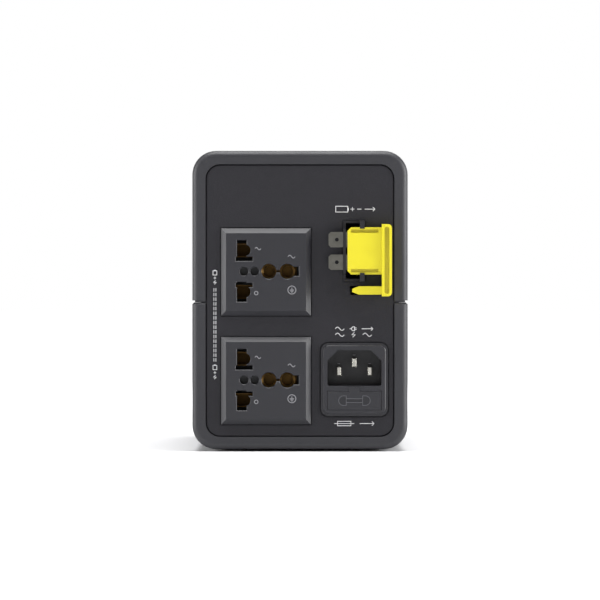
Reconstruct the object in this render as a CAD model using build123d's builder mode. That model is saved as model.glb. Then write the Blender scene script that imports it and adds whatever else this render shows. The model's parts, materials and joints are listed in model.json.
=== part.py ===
from build123d import *

import os
from math import radians, tan

# An uninterruptible power supply: two moulded half shells around a lead-acid battery, a mains
# transformer and a main board, with two universal outlets, a fused mains inlet and a battery
# connector at the rear, and a sprung power button at the front.
# Millimetres. +X is to the right and +Z is up as seen from behind, and the rear faces -Y.
# The origin is at the centre of the base, on the surface that the feet stand on.

# --- Case ---
case_width = 97.0
case_height = 134.4
case_depth = 280.0
foot_proud = 1.0
wall = 2.5
corner_radius = 10.8
rear_edge_radius = 2.75
front_edge_radius = 4.0
seam_above_base = 66.1
seam_gap = 0.1
shadow_gap_height = 0.9
shadow_gap_depth = 1.2
seam_chamfer = 0.8
vent_width = 2.2
vent_length = 26.0
vent_pitch = 5.0
vent_count = 11
vent_above_floor = 18.0
vent_below_roof = 16.0

# --- Rear and front openings of the shells ---
lip_side = 6.0
lip_top = 6.1
lip_bottom = 5.6
lip_thickness = 2.6
opening_radius = 6.5
front_lip = 5.0
front_opening_radius = 7.0
panel_gap = 0.35
panel_inset = 0.5
panel_thickness = 2.5
panel_edge_radius = 0.4
flange_overlap = 2.0
flange_thickness = 2.2
flange_width = 5.0
seat_gap = 0.1
rib_thickness = 1.5

# --- Universal outlets ---
socket_width = 40.4
socket_height = 39.3
socket_from_left = 7.0
socket_above_opening = 5.65
socket_pitch = 48.9
socket_bevel = 2.2
socket_plate = 2.4
socket_neck = 5.0
socket_base_depth = 17.7
recess_depth = 0.8
recess_gap = 0.5
cutout_margin = 1.7
fit_gap = 0.2
socket_hole_chamfer = 0.3
# Places of the holes across an outlet's face, from its centre: u to the right, v up.
line_v = -8.9
neutral_v = 9.8
line_u = -10.9
round_pin_u = -9.4
blade_slot_v = 5.9
earth_u = 1.3
far_earth_u = 9.6
earth_v = 0.3
contact_u = -9.8
pin_slot_width = 4.4
pin_slot_height = 9.0
round_pin_radius = 2.45
flat_blade_length = 7.6
flat_blade_width = 1.9
earth_radius = 3.4
earth_bridge_width = 1.0
earth_notch_reach = 1.8
earth_notch_height = 4.1
pilot_radius = 1.95
pilot_us = (-9.9, -5.1)
pilot_depth = 7.0
chamber_width = 10.0
chamber_height = 11.0
earth_chamber_width = 17.6
earth_chamber_height = 7.6
earth_chamber_shift = 0.6
base_floor = 2.0
base_inset = 0.6
contact_width = 9.0
earth_contact_width = 15.5
contact_sheet = 0.5
contact_length = 14.0
contact_grip = 5.2
tail_length = 5.0
tail_width = 3.4
tail_shift = 3.2
earth_tail_width = 6.4
tail_thickness = 0.8

# --- Mains inlet with its fuse drawer ---
inlet_width = 30.1
inlet_height = 32.8
inlet_from_right = 2.95
inlet_above_opening = 9.4
inlet_corner_radius = 3.5
inlet_step = 1.0
inlet_step_height = 0.8
inlet_proud = 0.8
inlet_depth = 19.0
inlet_recess_gap = 0.6
well_width = 24.3
well_height = 16.0
well_from_top = 3.2
well_chamfer = 4.7
well_radius = 1.0
well_depth = 17.0
pin_width = 2.0
pin_height = 4.0
pin_pitch = 14.0
pin_drop = 1.5
earth_rise = 2.4
pin_recess = 1.8
pin_taper = 0.4
drawer_width = 24.1
drawer_height = 8.3
drawer_above_flange = 2.8
drawer_depth = 17.0
drawer_gap = 0.15
drawer_tab_width = 5.0
drawer_tab_rise = 2.0
fuse_length = 20.0
fuse_radius = 2.6
fuse_cap_length = 5.0
fuse_wall = 0.5
fuse_end_gap = 0.3
fuse_from_drawer_back = 1.6
fuse_sign_half = 3.7
fuse_sign_radius = 2.15
fuse_sign_end = 1.25
fuse_sign_bar = 1.7
fuse_sign_depth = 0.4
clip_thickness = 0.5
clip_blade = 4.0
clip_step = 1.4
drawer_tab_length = 2.0
hold_gap = 0.02
inlet_edge_chamfer = 0.3
earth_pin_lead = 1.0

# --- Battery connector ---
port_width = 10.0
port_height = 27.5
port_wall = 1.2
port_from_right = 13.1
port_below_opening = 25.3
port_proud = 0.5
port_depth = 21.0
port_floor = 2.0
bridge_height = 5.4
clip_width = 2.1
clip_reach = 0.7
clip_from_plug_left = 5.55
clip_nose = 1.0
plug_length = 15.4
plug_height = 21.2
plug_thickness = 7.0
plug_left_of_port = 1.95
plug_rest_gap = 0.3
plug_chamfer = 1.6
blade_grip = 9.0
plug_rail = 1.0
plug_rail_drop = 0.9
plug_channel = 1.5
plug_channel_depth = 1.4
handle_width = 4.5
handle_length = 32.4
handle_height = 8.5
handle_rim = 1.2
handle_channel_depth = 2.0
handle_above_plug = 1.4
finger_width = 3.7
finger_length = 13.3
finger_below_plug = 5.3
finger_tip = 3.0
blade_width = 6.9
blade_thickness = 0.8
blade_pitch = 10.15
blade_reach = 8.5
blade_hole_radius = 0.85
blade_chamfer = 1.0
blade_hole_inset = 3.7
finger_root = 0.5
receptacle_depth = 9.0
port_flange_width = 2.0
port_flange_thickness = 1.5
handle_corner_radius = 1.8
arrow_radius = 1.3
arrow_from_right = 5.5
arrow_height = 0.3
slide_gap = 0.3

# --- Front panel, button and lights ---
button_radius = 8.5
button_height = 92.0
button_gap = 0.25
button_stroke = 0.8
button_proud = 1.4
button_flange = 1.8
button_edge_radius = 0.8
sign_radius = 3.6
sign_stroke = 0.7
sign_bar = 3.0
sign_height = 0.2
dish_depth = 1.0
dish_margin = 2.4
ring_gap = 2.5
ring_width = 1.6
ring_half_angle = 60.0
pipe_reach = 2.0
pipe_leg_radius = 0.8
led_radius = 1.5
led_height = 2.3
led_angles = (50, 90, 130)
louvre_count = 6
louvre_width = 52.0
louvre_height = 2.4
louvre_pitch = 6.0
louvre_from_bottom = 12.0
switch_size = 6.0
switch_height = 4.0
switch_floor = 0.6
plunger_radius = 1.7
plunger_proud = 1.6
front_board_gap = 14.0
front_board_width = 44.0
front_board_height = 34.0
front_panel_edge_radius = 1.2
post_radius = 3.0
post_inset = 4.0
board_thickness = 1.6

# --- Battery ---
battery_length = 151.0
battery_width = 65.0
battery_height = 94.0
battery_from_front = 26.0
battery_wall = 2.5
battery_lid_height = 9.0
battery_cells = 6
plates_per_cell = 5
plate_thickness = 1.6
pad_thickness = 1.5
terminal_spacing = 40.0
terminal_from_end = 12.0
terminal_height = 7.5
terminal_width = 6.3
terminal_foot = 1.0
terminal_foot_size = 10.0
terminal_recess = 1.5
terminal_recess_size = 14.0
battery_corner_radius = 2.0
plate_side_gap = 1.0
plate_top_gap = 6.0
pad_width = 16.0
pad_inset = 5.0
battery_gap = 0.5
battery_stop = 20.0
battery_rib_height = 45.0
rib_sheet = 2.0
rib_from_end = 14.0
hold_down_reach = 1.5
hold_down_height = 2.0

# --- Transformer ---
core_width = 66.0
core_height = 55.0
core_stack = 40.0
core_limb = 11.0
coil_build = 10.0
bobbin_wall = 1.0
bobbin_proud = 0.4
bracket_sheet = 1.0
bracket_foot = 9.0
bracket_width = 20.0
transformer_from_rear = 65.5
transformer_pad = 3.0
bolt_radius = 1.9
bolt_head_height = 2.0
coil_gap = 0.1

# --- Main board ---
main_board_width = 70.0
main_board_length = 156.0
main_board_from_rear = 42.0
main_board_below_roof = 4.9
board_hole_inset = 4.0
boss_radius = 3.5
board_screw_radius = 1.25
board_screw_length = 6.0
board_screw_bite = 3.5
board_head_radius = 2.4
board_head_height = 1.5
sink_from_rear = 32.0
sink_width = 52.0
sink_drop = 34.0
sink_sheet = 3.0
fin_length = 12.0
fin_thickness = 1.5
fin_count = 8
transistor_count = 4
transistor_pitch = 13.3
transistor_width = 10.0
transistor_thickness = 4.6
transistor_drop = 20.0
transistor_legs = (-2.5, 0, 2.5)
leg_width = 0.8
leg_thickness = 0.6
leg_length = 5.0
relay_xs = (-19.5, -0.5, 18.5)
relay_width = 15.0
relay_length = 19.0
relay_height = 15.5
relay_from_sink = 27.0
capacitor_xs = (-24.0, -8.0, 8.0)
capacitor_radius = 5.0
capacitor_height = 15.0
capacitor_from_sink = 58.0
connector_size = 7.0
connector_length = 6.0
connector_margin = 1.2
rear_connector_inset = 8.0
battery_connector_x = -24.0
battery_connector_inset = 20.0
coil_lead_xs = (-12, -4, 4, 12)
lead_radius = 1.75
mains_lead_radius = 1.2

# --- Screws and feet ---
column_radius = 4.0
column_inset_x = 8.5
column_from_rear = 36.5
column_from_front = 15.0
screw_radius = 1.45
screw_hole_radius = 1.7
screw_head_radius = 2.8
screw_head_height = 2.2
screw_length = 18.0
foot_radius = 6.5
foot_recess = 1.0
foot_inset_x = 30.0
foot_inset_y = 34.0

# --- Places worked out from the sizes above ---
half_width = case_width / 2
rear_y = -case_depth / 2
front_y = case_depth / 2
base_z = foot_proud
top_z = foot_proud + case_height
middle_z = (base_z + top_z) / 2
floor_z = base_z + wall
roof_z = top_z - wall
inner_x = half_width - wall
seam_z = base_z + seam_above_base
opening_left = -half_width + lip_side
opening_right = half_width - lip_side
opening_bottom = base_z + lip_bottom
opening_top = top_z - lip_top
opening_width = opening_right - opening_left
opening_height = opening_top - opening_bottom
opening_z = (opening_bottom + opening_top) / 2
panel_y = rear_y + panel_inset
panel_back_y = panel_y + panel_thickness
flange_y = rear_y + lip_thickness + seat_gap
flange_back_y = flange_y + flange_thickness
front_opening_width = case_width - 2 * front_lip
front_opening_height = case_height - 2 * front_lip
front_panel_y = front_y - panel_inset
front_panel_back_y = front_panel_y - panel_thickness
front_flange_y = front_y - lip_thickness - seat_gap
socket_x = opening_left + socket_from_left + socket_width / 2
socket_zs = {"lower": opening_bottom + socket_above_opening + socket_height / 2}
socket_zs["upper"] = socket_zs["lower"] + socket_pitch
recess_y = panel_y + recess_depth
socket_back_y = recess_y + socket_neck + socket_base_depth
inlet_x = opening_right - inlet_from_right - inlet_width / 2
inlet_z = opening_bottom + inlet_above_opening + inlet_height / 2
port_x = opening_right - port_from_right - port_width / 2
port_z = opening_top - port_below_opening - port_height / 2
ring_inner_radius = button_radius + ring_gap
ring_outer_radius = ring_inner_radius + ring_width
dish_radius = ring_outer_radius + dish_margin


def facing_rear(y):
    """A plane that faces the rear at y, whose own axes are the case's X and Z."""
    return Plane.XZ.offset(-y)


def block(low, high, mode=Mode.ADD):
    """A box between two corners, in the part being built."""
    size = [b - a for a, b in zip(low, high)]
    with Locations(tuple((a + b) / 2 for a, b in zip(low, high))):
        Box(*size, mode=mode)


def rod(centre, radius, start, end, axis="Y", mode=Mode.ADD):
    """A round bar along an axis from start to end, at centre across it, in the part being built."""
    middle = (start + end) / 2
    place = {
        "X": (middle, centre[0], centre[1]),
        "Y": (centre[0], middle, centre[1]),
        "Z": (centre[0], centre[1], middle),
    }[axis]
    turn = {"X": (0, 90, 0), "Y": (90, 0, 0), "Z": (0, 0, 0)}[axis]
    with Locations(place):
        Cylinder(radius, abs(end - start), rotation=turn, mode=mode)


def rounded(width, height, radius, centre, start, end, mode=Mode.ADD):
    """A bar along Y with a rounded rectangle as its section, in the part being built."""
    with BuildSketch(facing_rear(max(start, end))) as section:
        with Locations(centre):
            RectangleRounded(width, height, radius)
    extrude(section.sketch, amount=abs(end - start), mode=mode)


def ring_outline(inner, outer, half_angle):
    """The outline of an arc-shaped bar round the top of the button, in the line being built."""
    low = CenterArc((0, button_height), inner, 90 - half_angle, 2 * half_angle)
    high = CenterArc((0, button_height), outer, 90 - half_angle, 2 * half_angle)
    Line(low @ 0, high @ 0)
    Line(low @ 1, high @ 1)


def bend_radii(points):
    """The largest bends that leave part of each run straight: 0.45 of the shorter run over tan(turn / 2)."""
    spots = [Vector(*point) for point in points]
    radii = []
    for before, here, after in zip(spots, spots[1:], spots[2:]):
        turn = (here - before).get_angle(after - here)
        radii.append(0.45 * min((here - before).length, (after - here).length) / tan(radians(turn / 2)))
    return radii


def lead(points, radius):
    """An insulated lead: a round tube along straight runs joined by tangent bends."""
    with BuildPart() as tube:
        with BuildLine() as path:
            FilletPolyline(*points, radius=bend_radii(points))
        with BuildSketch(Plane(origin=path.line @ 0, z_dir=path.line % 0)):
            Circle(radius)
        sweep(path=path.line)
    return tube.part


def save(piece, label):
    """Label a finished piece and write it to its own file."""
    piece.part.label = label
    export_step(piece.part, f"parts/{label}.step")


os.makedirs("parts", exist_ok=True)

# --- Shells ---
column_x = half_width - column_inset_x
column_ys = (rear_y + column_from_rear, front_y - column_from_front)
columns = [(side * column_x, y) for side in (-1, 1) for y in column_ys]
foot_places = [
    (side * foot_inset_x, end * (case_depth / 2 - foot_inset_y)) for side in (-1, 1) for end in (-1, 1)
]
battery_front_y = front_panel_back_y - battery_from_front
battery_rear_y = battery_front_y - battery_length
rib_ys = (
    battery_rear_y + rib_from_end,
    (battery_rear_y + battery_front_y) / 2,
    battery_front_y - rib_from_end - rib_sheet,
)
battery_base_z = floor_z + pad_thickness
battery_top_z = battery_base_z + battery_height
transformer_y = rear_y + transformer_from_rear
core_base_z = floor_z + transformer_pad
board_z = roof_z - main_board_below_roof
board_top_z = board_z + board_thickness
board_rear_y = rear_y + main_board_from_rear
board_front_y = board_rear_y + main_board_length
board_holes = [
    (side * (main_board_width / 2 - board_hole_inset), y)
    for side in (-1, 1)
    for y in (board_rear_y + board_hole_inset, board_front_y - board_hole_inset)
]
bracket_hole_x = core_width / 2 + bracket_sheet + bracket_foot / 2 + 0.5

with BuildPart() as shell_blank:
    rounded(case_width, case_height, corner_radius, (0, middle_z), rear_y, front_y)
    fillet(shell_blank.edges().group_by(Axis.Y)[0], rear_edge_radius)
    fillet(shell_blank.edges().group_by(Axis.Y)[-1], front_edge_radius)
    rounded(
        case_width - 2 * wall,
        case_height - 2 * wall,
        corner_radius - wall,
        (0, middle_z),
        rear_y + lip_thickness,
        front_y - lip_thickness,
        mode=Mode.SUBTRACT,
    )
    rounded(opening_width, opening_height, opening_radius, (0, opening_z), rear_y, 0, Mode.SUBTRACT)
    rounded(
        front_opening_width,
        front_opening_height,
        front_opening_radius,
        (0, middle_z),
        0,
        front_y,
        mode=Mode.SUBTRACT,
    )

# Ribs behind each panel's flange, which trap it against the lip.
with BuildPart() as panel_ribs:
    for start in (flange_back_y + seat_gap, front_flange_y - flange_thickness - seat_gap - rib_thickness):
        rounded(
            case_width - 2 * wall + 0.2,
            case_height - 2 * wall + 0.2,
            corner_radius - wall,
            (0, middle_z),
            start,
            start + rib_thickness,
        )
        rounded(
            opening_width + flange_overlap / 2,
            opening_height + flange_overlap / 2,
            opening_radius,
            (0, opening_z),
            start,
            start + rib_thickness,
            mode=Mode.SUBTRACT,
        )

head_seat_z = seam_z - screw_length / 2


def cut_vents(z_low):
    """A row of upright slots through both side walls, beside the transformer."""
    for side in (-1, 1):
        for index in range(vent_count):
            y = transformer_y + (index - (vent_count - 1) / 2) * vent_pitch
            block(
                (side * half_width - wall - 1, y - vent_width / 2, z_low),
                (side * half_width + wall + 1, y + vent_width / 2, z_low + vent_length),
                mode=Mode.SUBTRACT,
            )


# Everything that stands on the floor inside, trimmed to the rounded inside of the case.
with BuildPart() as inner_space:
    rounded(
        case_width - wall,
        case_height - wall,
        corner_radius - wall / 2,
        (0, middle_z),
        rear_y + wall,
        front_y - wall,
    )

with BuildPart() as lower_supports:
    for x, y in columns:
        rod((x, y), column_radius, floor_z - 1, seam_z, "Z")
    # Pads under the core and pillars for the bracket's screws.
    for side in (-1, 1):
        rod((side * bracket_hole_x, transformer_y), bracket_foot / 2, floor_z - 1, core_base_z, "Z")
    for side in (-1, 1):
        pad_x = side * (core_width / 2 - core_limb / 2)
        block(
            (pad_x - core_limb / 3, transformer_y - core_stack / 2, floor_z - 1),
            (pad_x + core_limb / 3, transformer_y + core_stack / 2, core_base_z),
        )
    # Ribs that hold the battery on its pads.
    for side in (-1, 1):
        for y in rib_ys:
            inner = side * (battery_width / 2 + battery_gap)
            block(
                (min(inner, side * (inner_x + 1)), y, floor_z - 1),
                (max(inner, side * (inner_x + 1)), y + rib_sheet, floor_z + battery_rib_height),
            )
    for y in (battery_rear_y - battery_gap - rib_sheet, battery_front_y + battery_gap):
        block((-battery_stop, y, floor_z - 1), (battery_stop, y + rib_sheet, floor_z + battery_stop))
    add(inner_space.part, mode=Mode.INTERSECT)

with BuildPart() as upper_supports:
    for x, y in columns:
        rod((x, y), column_radius, seam_z + seam_gap, roof_z + 1, "Z")
    # Bosses that carry the main board.
    for x, y in board_holes:
        rod((x, y), boss_radius, board_top_z, roof_z + 1, "Z")
    # Fingers that keep the battery down.
    for side in (-1, 1):
        for y in (rib_ys[0], rib_ys[-1]):
            inner = side * (battery_width / 2 - hold_down_reach)
            low_z = battery_top_z + battery_gap
            block(
                (min(inner, side * (inner_x + 1)), y, low_z),
                (max(inner, side * (inner_x + 1)), y + rib_sheet, low_z + hold_down_height),
            )
    add(inner_space.part, mode=Mode.INTERSECT)

with BuildPart() as lower_shell:
    add(shell_blank.part)
    add(panel_ribs.part)
    split(bisect_by=Plane.XY.offset(seam_z), keep=Keep.BOTTOM)
    outer_top = lower_shell.edges().group_by(Axis.Z)[-1].filter_by(
        lambda edge: abs(abs(edge.center().X) - half_width) < 0.01
    )
    chamfer(outer_top, seam_chamfer)
    cut_vents(floor_z + vent_above_floor)
    add(lower_supports.part)
    for x, y in columns:
        rod((x, y), screw_head_radius + 0.4, base_z, head_seat_z, "Z", Mode.SUBTRACT)
        rod((x, y), screw_hole_radius, head_seat_z, seam_z, "Z", Mode.SUBTRACT)
    for x, y in foot_places:
        rod((x, y), foot_radius + 0.1, base_z, base_z + foot_recess, "Z", Mode.SUBTRACT)
    for side in (-1, 1):
        rod((side * bracket_hole_x, transformer_y), bolt_radius, floor_z, core_base_z, "Z", Mode.SUBTRACT)
save(lower_shell, "lower_shell")

with BuildPart() as upper_shell:
    add(shell_blank.part)
    add(panel_ribs.part)
    split(bisect_by=Plane.XY.offset(seam_z + seam_gap), keep=Keep.TOP)
    # The shadow gap that runs round the outside at the seam.
    for side in (-1, 1):
        block(
            (side * half_width - shadow_gap_depth, rear_y, seam_z),
            (side * half_width + shadow_gap_depth, front_y, seam_z + shadow_gap_height),
            mode=Mode.SUBTRACT,
        )
        block(
            (-half_width, side * front_y - shadow_gap_depth, seam_z),
            (half_width, side * front_y + shadow_gap_depth, seam_z + shadow_gap_height),
            mode=Mode.SUBTRACT,
        )
    cut_vents(roof_z - vent_below_roof - vent_length)
    add(upper_supports.part)
    for x, y in columns:
        rod((x, y), screw_radius + 0.02, seam_z, seam_z + screw_length, "Z", Mode.SUBTRACT)
    for x, y in board_holes:
        rod((x, y), board_screw_radius, board_top_z, board_top_z + board_screw_bite + 0.2, "Z", Mode.SUBTRACT)
save(upper_shell, "upper_shell")

with BuildPart() as case_screws:
    for x, y in columns:
        rod((x, y), screw_radius, head_seat_z, head_seat_z + screw_length, "Z")
        rod((x, y), screw_head_radius, head_seat_z - screw_head_height, head_seat_z, "Z")
        rod((x, y), 1.0, head_seat_z - screw_head_height, head_seat_z - 1, "Z", Mode.SUBTRACT)
save(case_screws, "case_screws")

with BuildPart() as rubber_feet:
    for x, y in foot_places:
        rod((x, y), foot_radius, 0, base_z + foot_recess, "Z")
    chamfer(rubber_feet.edges().group_by(Axis.Z)[0], foot_proud * 0.5)
save(rubber_feet, "rubber_feet")

# --- Rear panel ---
port_outer = (port_width + 2 * fit_gap, port_height + 2 * fit_gap)
finger_z = port_z - plug_height / 2 - finger_below_plug - finger_width / 2
with BuildPart() as rear_panel:
    rounded(
        opening_width - 2 * panel_gap,
        opening_height - 2 * panel_gap,
        opening_radius - panel_gap,
        (0, opening_z),
        panel_y,
        panel_back_y,
    )
    fillet(rear_panel.edges().group_by(Axis.Y)[0], panel_edge_radius)
    rounded(
        opening_width + 2 * flange_overlap,
        opening_height + 2 * flange_overlap,
        opening_radius,
        (0, opening_z),
        flange_y,
        flange_back_y,
    )
    rounded(
        opening_width - 2 * flange_width,
        opening_height - 2 * flange_width,
        1.0,
        (0, opening_z),
        panel_back_y,
        flange_back_y,
        mode=Mode.SUBTRACT,
    )
    for z in socket_zs.values():
        for margin, end_y in ((-recess_gap, recess_y), (cutout_margin, flange_back_y)):
            half_x = socket_width / 2 - margin
            half_z = socket_height / 2 - margin
            block(
                (socket_x - half_x, panel_y, z - half_z),
                (socket_x + half_x, end_y, z + half_z),
                mode=Mode.SUBTRACT,
            )
    rounded(
        inlet_width + 2 * inlet_recess_gap,
        inlet_height + 2 * inlet_recess_gap,
        inlet_corner_radius + inlet_recess_gap,
        (inlet_x, inlet_z),
        panel_y,
        recess_y,
        mode=Mode.SUBTRACT,
    )
    inlet_cut = (inlet_width - 2 * cutout_margin, inlet_height - 2 * cutout_margin)
    block(
        (inlet_x - inlet_cut[0] / 2, panel_y, inlet_z - inlet_cut[1] / 2),
        (inlet_x + inlet_cut[0] / 2, flange_back_y, inlet_z + inlet_cut[1] / 2),
        mode=Mode.SUBTRACT,
    )
    block(
        (port_x - port_outer[0] / 2, panel_y, port_z - port_outer[1] / 2),
        (port_x + port_outer[0] / 2, flange_back_y, port_z + port_outer[1] / 2),
        mode=Mode.SUBTRACT,
    )
    # The hole that the plug's finger enters when the plug is pushed home.
    block(
        (port_x - finger_width / 2, panel_y, finger_z - finger_width / 2 - fit_gap),
        (port_x + finger_width / 2, panel_back_y, finger_z + finger_width / 2 + fit_gap),
        mode=Mode.SUBTRACT,
    )
save(rear_panel, "rear_panel")

# --- Universal outlets ---
socket_plate_y = recess_y - socket_plate - recess_depth


def socket_face(z):
    """The moulded face of an outlet: a bevelled plate on a neck, with its pin holes through it."""
    with BuildPart() as face:
        block(
            (socket_x - socket_width / 2, socket_plate_y, z - socket_height / 2),
            (socket_x + socket_width / 2, recess_y, z + socket_height / 2),
        )
        chamfer(face.edges().group_by(Axis.Y)[0], socket_bevel)
        neck = (socket_width / 2 - cutout_margin - fit_gap, socket_height / 2 - cutout_margin - fit_gap)
        block(
            (socket_x - neck[0], recess_y - 1, z - neck[1]),
            (socket_x + neck[0], recess_y + socket_neck, z + neck[1]),
        )
        with BuildSketch(facing_rear(recess_y + socket_neck)) as holes:
            for v, slot_v in ((line_v, -blade_slot_v), (neutral_v, blade_slot_v)):
                with Locations((socket_x + line_u, z + v)):
                    Rectangle(pin_slot_width, pin_slot_height)
                with Locations((socket_x + round_pin_u, z + v)):
                    Circle(round_pin_radius)
                with Locations((socket_x + contact_u, z + slot_v)):
                    Rectangle(flat_blade_length, flat_blade_width)
            with Locations((socket_x + earth_u, z + earth_v), (socket_x + far_earth_u, z + earth_v)):
                Circle(earth_radius)
            with Locations((socket_x + (earth_u + far_earth_u) / 2, z + earth_v)):
                Rectangle(far_earth_u - earth_u, earth_bridge_width)
            with Locations((socket_x + far_earth_u + earth_radius, z + earth_v)):
                Rectangle(2 * earth_notch_reach, earth_notch_height)
        extrude(holes.sketch, amount=socket_neck + recess_depth + socket_plate + 1, mode=Mode.SUBTRACT)
        for u in pilot_us:
            rod(
                (socket_x + u, z + earth_v),
                pilot_radius,
                socket_plate_y,
                socket_plate_y + pilot_depth,
                mode=Mode.SUBTRACT,
            )
        mouth = face.faces().sort_by(Axis.Y)[0]
        for wire in mouth.inner_wires():
            chamfer(wire.edges(), socket_hole_chamfer)
    return face


# Chambers of the base: middle u and v, width and height.
chambers = {
    "line": (contact_u, line_v, chamber_width, chamber_height),
    "neutral": (contact_u, neutral_v, chamber_width, chamber_height),
    "earth": (
        (earth_u + far_earth_u) / 2 + earth_chamber_shift,
        earth_v,
        earth_chamber_width,
        earth_chamber_height,
    ),
}
# Tails: middle u and width. The line's and the neutral's stand side by side, so their leads pass.
tails = {
    "line": (contact_u - tail_shift, tail_width),
    "neutral": (contact_u + tail_shift, tail_width),
    "earth": (chambers["earth"][0], earth_tail_width),
}


def socket_base(z):
    """The box behind an outlet's face, with a chamber for each contact and slots for their tails."""
    with BuildPart() as base:
        half = (socket_width / 2 - cutout_margin - base_inset, socket_height / 2 - cutout_margin - base_inset)
        block(
            (socket_x - half[0], recess_y + socket_neck, z - half[1]),
            (socket_x + half[0], socket_back_y, z + half[1]),
        )
        for chamber, (u, v, width, height) in chambers.items():
            tail_u, slot_width_u = tails[chamber]
            block(
                (socket_x + u - width / 2, recess_y + socket_neck, z + v - height / 2),
                (socket_x + u + width / 2, socket_back_y - base_floor, z + v + height / 2),
                mode=Mode.SUBTRACT,
            )
            slot_x = slot_width_u / 2 + fit_gap
            slot_z = tail_thickness / 2 + fit_gap
            block(
                (socket_x + tail_u - slot_x, socket_back_y - base_floor - 1, z + v - slot_z),
                (socket_x + tail_u + slot_x, socket_back_y, z + v + slot_z),
                mode=Mode.SUBTRACT,
            )
    return base


contact_end_y = socket_back_y - base_floor - seat_gap


def forked_contact(chamber, z, width):
    """A sprung fork: two leaves above and below the pin, a bridge and a tail out of the back."""
    with BuildPart() as fork:
        v = chambers[chamber][1]
        x = socket_x + chambers[chamber][0]
        tail_u, wide = tails[chamber]
        for side in (-1, 1):
            leaf = sorted((side * contact_grip / 2, side * (contact_grip / 2 + contact_sheet)))
            block(
                (x - width / 2, contact_end_y - contact_length, z + v + leaf[0]),
                (x + width / 2, contact_end_y, z + v + leaf[1]),
            )
        grip = contact_grip / 2 + contact_sheet
        block(
            (x - width / 2, contact_end_y - contact_sheet, z + v - grip),
            (x + width / 2, contact_end_y, z + v + grip),
        )
        block(
            (socket_x + tail_u - wide / 2, contact_end_y - contact_sheet, z + v - tail_thickness / 2),
            (socket_x + tail_u + wide / 2, socket_back_y + tail_length, z + v + tail_thickness / 2),
        )
    return fork


for place, z in socket_zs.items():
    name = f"socket_{place}"
    save(socket_face(z), f"{name}_face")
    save(socket_base(z), f"{name}_base")
    save(forked_contact("line", z, contact_width), f"{name}_line_contact")
    save(forked_contact("neutral", z, contact_width), f"{name}_neutral_contact")
    save(forked_contact("earth", z, earth_contact_width), f"{name}_earth_contact")

# --- Mains inlet ---
inlet_top_z = inlet_z + inlet_height / 2
well_z = inlet_top_z - well_from_top - well_height / 2
drawer_z = inlet_z - inlet_height / 2 + drawer_above_flange + drawer_height / 2
inlet_low_y = panel_y - inlet_proud
inlet_face_y = inlet_low_y - inlet_step_height
inlet_back_y = recess_y + inlet_depth
well_floor_y = inlet_face_y + well_depth
drawer_back_y = inlet_face_y + drawer_depth
pins = {
    "line": (inlet_x - pin_pitch / 2, well_z - pin_drop),
    "neutral": (inlet_x + pin_pitch / 2, well_z - pin_drop),
    "earth": (inlet_x, well_z + earth_rise),
}
tab_z = drawer_z + drawer_height / 2 + drawer_tab_rise
with BuildPart() as inlet_body:
    rounded(inlet_width, inlet_height, inlet_corner_radius, (inlet_x, inlet_z), inlet_low_y, recess_y)
    rounded(
        inlet_width - 2 * inlet_step,
        inlet_height - 2 * inlet_step,
        inlet_corner_radius - inlet_step,
        (inlet_x, inlet_z),
        inlet_face_y,
        recess_y,
    )
    chamfer(inlet_body.edges().group_by(Axis.Y)[0], inlet_edge_chamfer)
    neck = (inlet_cut[0] / 2 - fit_gap, inlet_cut[1] / 2 - fit_gap)
    block(
        (inlet_x - neck[0], recess_y - 1, inlet_z - neck[1]),
        (inlet_x + neck[0], inlet_back_y, inlet_z + neck[1]),
    )
    with BuildSketch(facing_rear(well_floor_y)) as well:
        with Locations((inlet_x, well_z)):
            Rectangle(well_width, well_height)
        chamfer(well.vertices().group_by(Axis.Y)[-1], well_chamfer)
        fillet(well.vertices().group_by(Axis.Y)[0], well_radius)
    extrude(well.sketch, amount=well_depth + 1, mode=Mode.SUBTRACT)
    half = (drawer_width / 2 + drawer_gap, drawer_height / 2 + drawer_gap)
    block(
        (inlet_x - half[0], inlet_face_y - 1, drawer_z - half[1]),
        (inlet_x + half[0], drawer_back_y + drawer_gap, drawer_z + half[1]),
        mode=Mode.SUBTRACT,
    )
    block(
        (inlet_x - drawer_tab_width / 2 - drawer_gap, inlet_face_y - 1, drawer_z),
        (
            inlet_x + drawer_tab_width / 2 + drawer_gap,
            inlet_face_y + drawer_tab_length + fit_gap,
            tab_z + drawer_gap,
        ),
        mode=Mode.SUBTRACT,
    )
    for x, z in pins.values():
        block(
            (x - pin_width / 2 - hold_gap, well_floor_y - 1, z - pin_height / 2 - hold_gap),
            (x + pin_width / 2 + hold_gap, inlet_back_y, z + pin_height / 2 + hold_gap),
            mode=Mode.SUBTRACT,
        )
    # Slots through which the fuse clips reach their fuse.
    for side in (-1, 1):
        x = inlet_x + side * (fuse_length / 2 - fuse_cap_length / 2)
        block(
            (x - clip_blade / 2 - fit_gap, drawer_back_y - 1, drawer_z - clip_thickness),
            (x + clip_blade / 2 + fit_gap, inlet_back_y, drawer_z + clip_thickness),
            mode=Mode.SUBTRACT,
        )
save(inlet_body, "inlet_body")

for pin_name, (x, z) in pins.items():
    longer = earth_pin_lead if pin_name == "earth" else 0.0
    with BuildPart() as pin:
        block(
            (x - pin_width / 2, inlet_face_y + pin_recess - longer, z - pin_height / 2),
            (x + pin_width / 2, inlet_back_y + tail_length, z + pin_height / 2),
        )
        chamfer(pin.edges().group_by(Axis.Y)[0], pin_taper)
    save(pin, f"inlet_{pin_name}_pin")

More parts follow.
